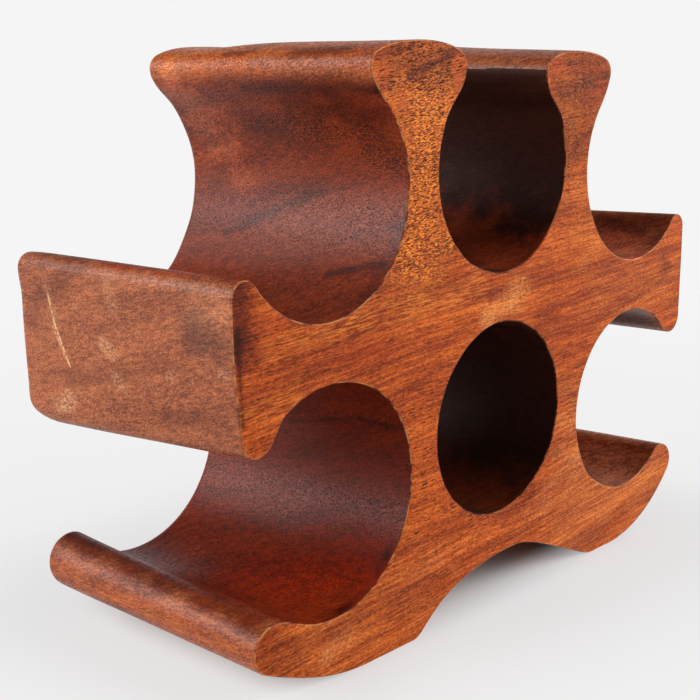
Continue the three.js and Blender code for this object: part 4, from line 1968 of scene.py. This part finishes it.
    def build(self, effects: Effects, holes: Object) -> None:
        """Makes, drills and dresses every board.

        Args:
            effects: The shared node groups.
            holes: What the boards are drilled with.
        """
        layers, sizes = self.layers(), self.sizes()
        undercuts = self.undercuts(sizes, layers)
        carving = HandCarving(sizes, layers, self.gouges(sizes), undercuts, (self.head_dent,))
        finishes = [finish.material(effects) for finish in (OILED_FACE, OILED_WALL, BORE_PAINTED_SHADE, BARE_JOINT)]
        for loft in self.lofts(sizes, layers):
            board = linked("carved_" + loft.name, loft.mesh(carving))
            for finish in finishes:
                board.data.materials.append(finish)
            self.drill(board, holes)
            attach(board, BODY)
            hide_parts(loft.name)
            log.info("%s: %d faces", board.name, len(board.data.polygons))

    def drill(self, board: Object, holes: Object) -> None:
        """Cuts the dowel holes into a board.

        Args:
            board: The board, whose mesh is replaced.
            holes: The holes.
        """
        cut = board.modifiers.new("holes", "BOOLEAN")
        cut.operation = "DIFFERENCE"
        cut.solver = "EXACT"
        cut.object = holes
        drilled = bpy.data.meshes.new_from_object(board.evaluated_get(bpy.context.evaluated_depsgraph_get()))
        board.modifiers.clear()
        board.data = drilled


# Studio


@dataclass(frozen=True)
class Lamp:
    """A soft square lamp that looks at the rack."""

    name: str
    place: Place
    size: float
    power: float
    target: Place = (0.0, 0.0, 0.13)

    def build(self) -> None:
        """Adds the lamp to the scene, out of the camera's sight."""
        light = bpy.data.lights.new(self.name, "AREA")
        light.size = self.size
        light.energy = self.power
        lamp = linked(self.name, light)
        lamp.location = self.place
        looks = Vector(self.target) - Vector(self.place)
        lamp.rotation_euler = looks.to_track_quat("-Z", "Y").to_euler()
        lamp.visible_camera = False
        log.info("%s: %g W", self.name, self.power)


@dataclass(frozen=True)
class Studio:
    """A pale floor that runs out into a pale background, soft lamps and the camera.

    Attributes:
        backdrop: Tone of the background.
        floor_tone: Tone of the matt floor.
        floor_reach: How far the floor goes each way, in metres.
        footprint: Half the size of the place that stays matt, under the rack.
        footprint_middle: Middle of that place.
        fades: Where the background starts and stops blending in, outside that place, and by how much.
        world_strength: Level of the light from all around.
        ceiling: Level of the ceiling as a share of the walls.
        dimming: How far up the walls start to dim, and end.
        camera_place: Where the camera stands.
        azimuth: Turn of the camera, in degrees.
        pitch: How far down it looks, in degrees.
        roll: How far it leans, in degrees.
        lens: Its focal length, in millimetres.
        sensor: Width of its sensor, in millimetres.
        lamps: The lamps.
    """

    backdrop: float = 0.913
    floor_tone: float = 0.85
    floor_reach: float = 6.0
    footprint: Place = (0.11, 0.05, 1.0)
    footprint_middle: Place = (0.0, 0.012, 0.0)
    fades: tuple[Place, ...] = ((0.0, 0.04, 0.68), (0.03, 0.15, 0.2), (0.15, 0.8, 0.12))
    world_strength: float = 0.25
    ceiling: float = 0.12
    dimming: Spot = (0.2, 0.6)
    camera_place: Place = (-0.49265, -0.41815, 0.2551)
    azimuth: float = -47.69
    pitch: float = 12.19
    roll: float = -0.18
    lens: float = 67.27
    sensor: float = 36.0
    lamps: tuple[Lamp, ...] = (
        Lamp("front_lamp", (1.8, -2.4, 1.25), 2.8, 120.0),
        Lamp("left_lamp", (-1.5, 0.9, 0.95), 1.3, 33.0),
    )

    @staticmethod
    def seen(wiring: Wiring) -> Socket:
        """Adds a mask that is 1 for what the camera sees straight on, in a reflection or through glass."""
        path = wiring.node("LightPath", {}).outputs
        mirrored = wiring.math("MAXIMUM", path["Is Glossy Ray"], path["Is Transmission Ray"])
        return wiring.math("MAXIMUM", path["Is Camera Ray"], mirrored)

    def floor_material(self) -> Material:
        """Builds the floor's material: matt near the rack, and the plain background colour further away.

        Returns:
            The material.
        """
        material = bpy.data.materials.new("studio_floor")
        wiring = Wiring.emptied(material)
        place = wiring.node("TexCoord", {}).outputs["Object"]
        apart = wiring.vector("ABSOLUTE", wiring.vector("SUBTRACT", place, self.footprint_middle))
        past = wiring.vector("SUBTRACT", apart, self.footprint)
        beside = wiring.measure("LENGTH", wiring.vector("MAXIMUM", past, ORIGIN))
        plain_share = 0.0
        for start, stop, share in self.fades:
            plain_share = wiring.math("ADD", plain_share, wiring.ramp(beside, start, stop, 0.0, share))
        matt = wiring.node("BsdfDiffuse", {"Color": (*[self.floor_tone] * 3, 1)})
        plain = wiring.node("Emission", {"Color": (*[self.backdrop] * 3, 1), "Strength": 1.0})
        shown = wiring.math("MULTIPLY", self.seen(wiring), plain_share)
        blend = wiring.node("MixShader", {0: shown, 1: matt.outputs[0], 2: plain.outputs[0]})
        wiring.node("OutputMaterial", {"Surface": blend.outputs[0]})
        return material

    def floor(self) -> None:
        """Lays the floor: a level square under the rack."""
        reach = self.floor_reach
        corners = [(-reach, -reach, 0), (reach, -reach, 0), (reach, reach, 0), (-reach, reach, 0)]
        mesh = bpy.data.meshes.new("studio_floor")
        mesh.from_pydata(corners, [], [(0, 1, 2, 3)])
        mesh.materials.append(self.floor_material())
        floor = linked("studio_floor", mesh)

    def world(self) -> None:
        """Sets the world: a soft light, seen as the plain background, that dims towards the ceiling."""
        world = bpy.data.worlds.new("studio_world")
        wiring = Wiring.emptied(world)
        away = wiring.node("TexCoord", {}).outputs["Generated"]
        upwards = wiring.node("SeparateXYZ", {0: away}).outputs["Z"]
        tone = wiring.ramp(upwards, *self.dimming, self.backdrop, self.backdrop * self.ceiling)
        light = wiring.node("Background", {"Color": tone, "Strength": self.world_strength})
        plain = wiring.node("Background", {"Color": tone, "Strength": 1.0})
        blend = wiring.node("MixShader", {0: self.seen(wiring), 1: light.outputs[0], 2: plain.outputs[0]})
        wiring.node("OutputWorld", {"Surface": blend.outputs[0]})
        bpy.context.scene.world = world

    def camera(self) -> None:
        """Places the camera by its turn, its pitch and its roll."""
        data = bpy.data.cameras.new("photo_camera")
        data.sensor_width = self.sensor
        data.lens = self.lens
        turn = Matrix.Rotation(math.radians(self.azimuth), 4, "Z")
        tip = Matrix.Rotation(math.radians(90 - self.pitch), 4, "X")
        lean = Matrix.Rotation(math.radians(self.roll), 4, "Z")
        camera = linked("photo_camera", data)
        camera.matrix_world = Matrix.Translation(self.camera_place) @ turn @ tip @ lean
        bpy.context.scene.camera = camera

    def build(self) -> None:
        """Sets up the floor, the world, the lamps and the camera."""
        bpy.context.scene.view_settings.view_transform = "Standard"
        self.floor()
        self.world()
        for lamp in self.lamps:
            lamp.build()
        self.camera()


def main() -> None:
    """Builds the boards, the dowels and the studio."""
    logging.basicConfig(level=logging.INFO, format="%(message)s")
    effects = Effects()
    dowels = Dowels()
    holes = dowels.holes()
    Boards().build(effects, holes)
    bpy.data.objects.remove(holes)
    dowels.dress(effects)
    Studio().build()


if __name__ == "__main__":
    main()
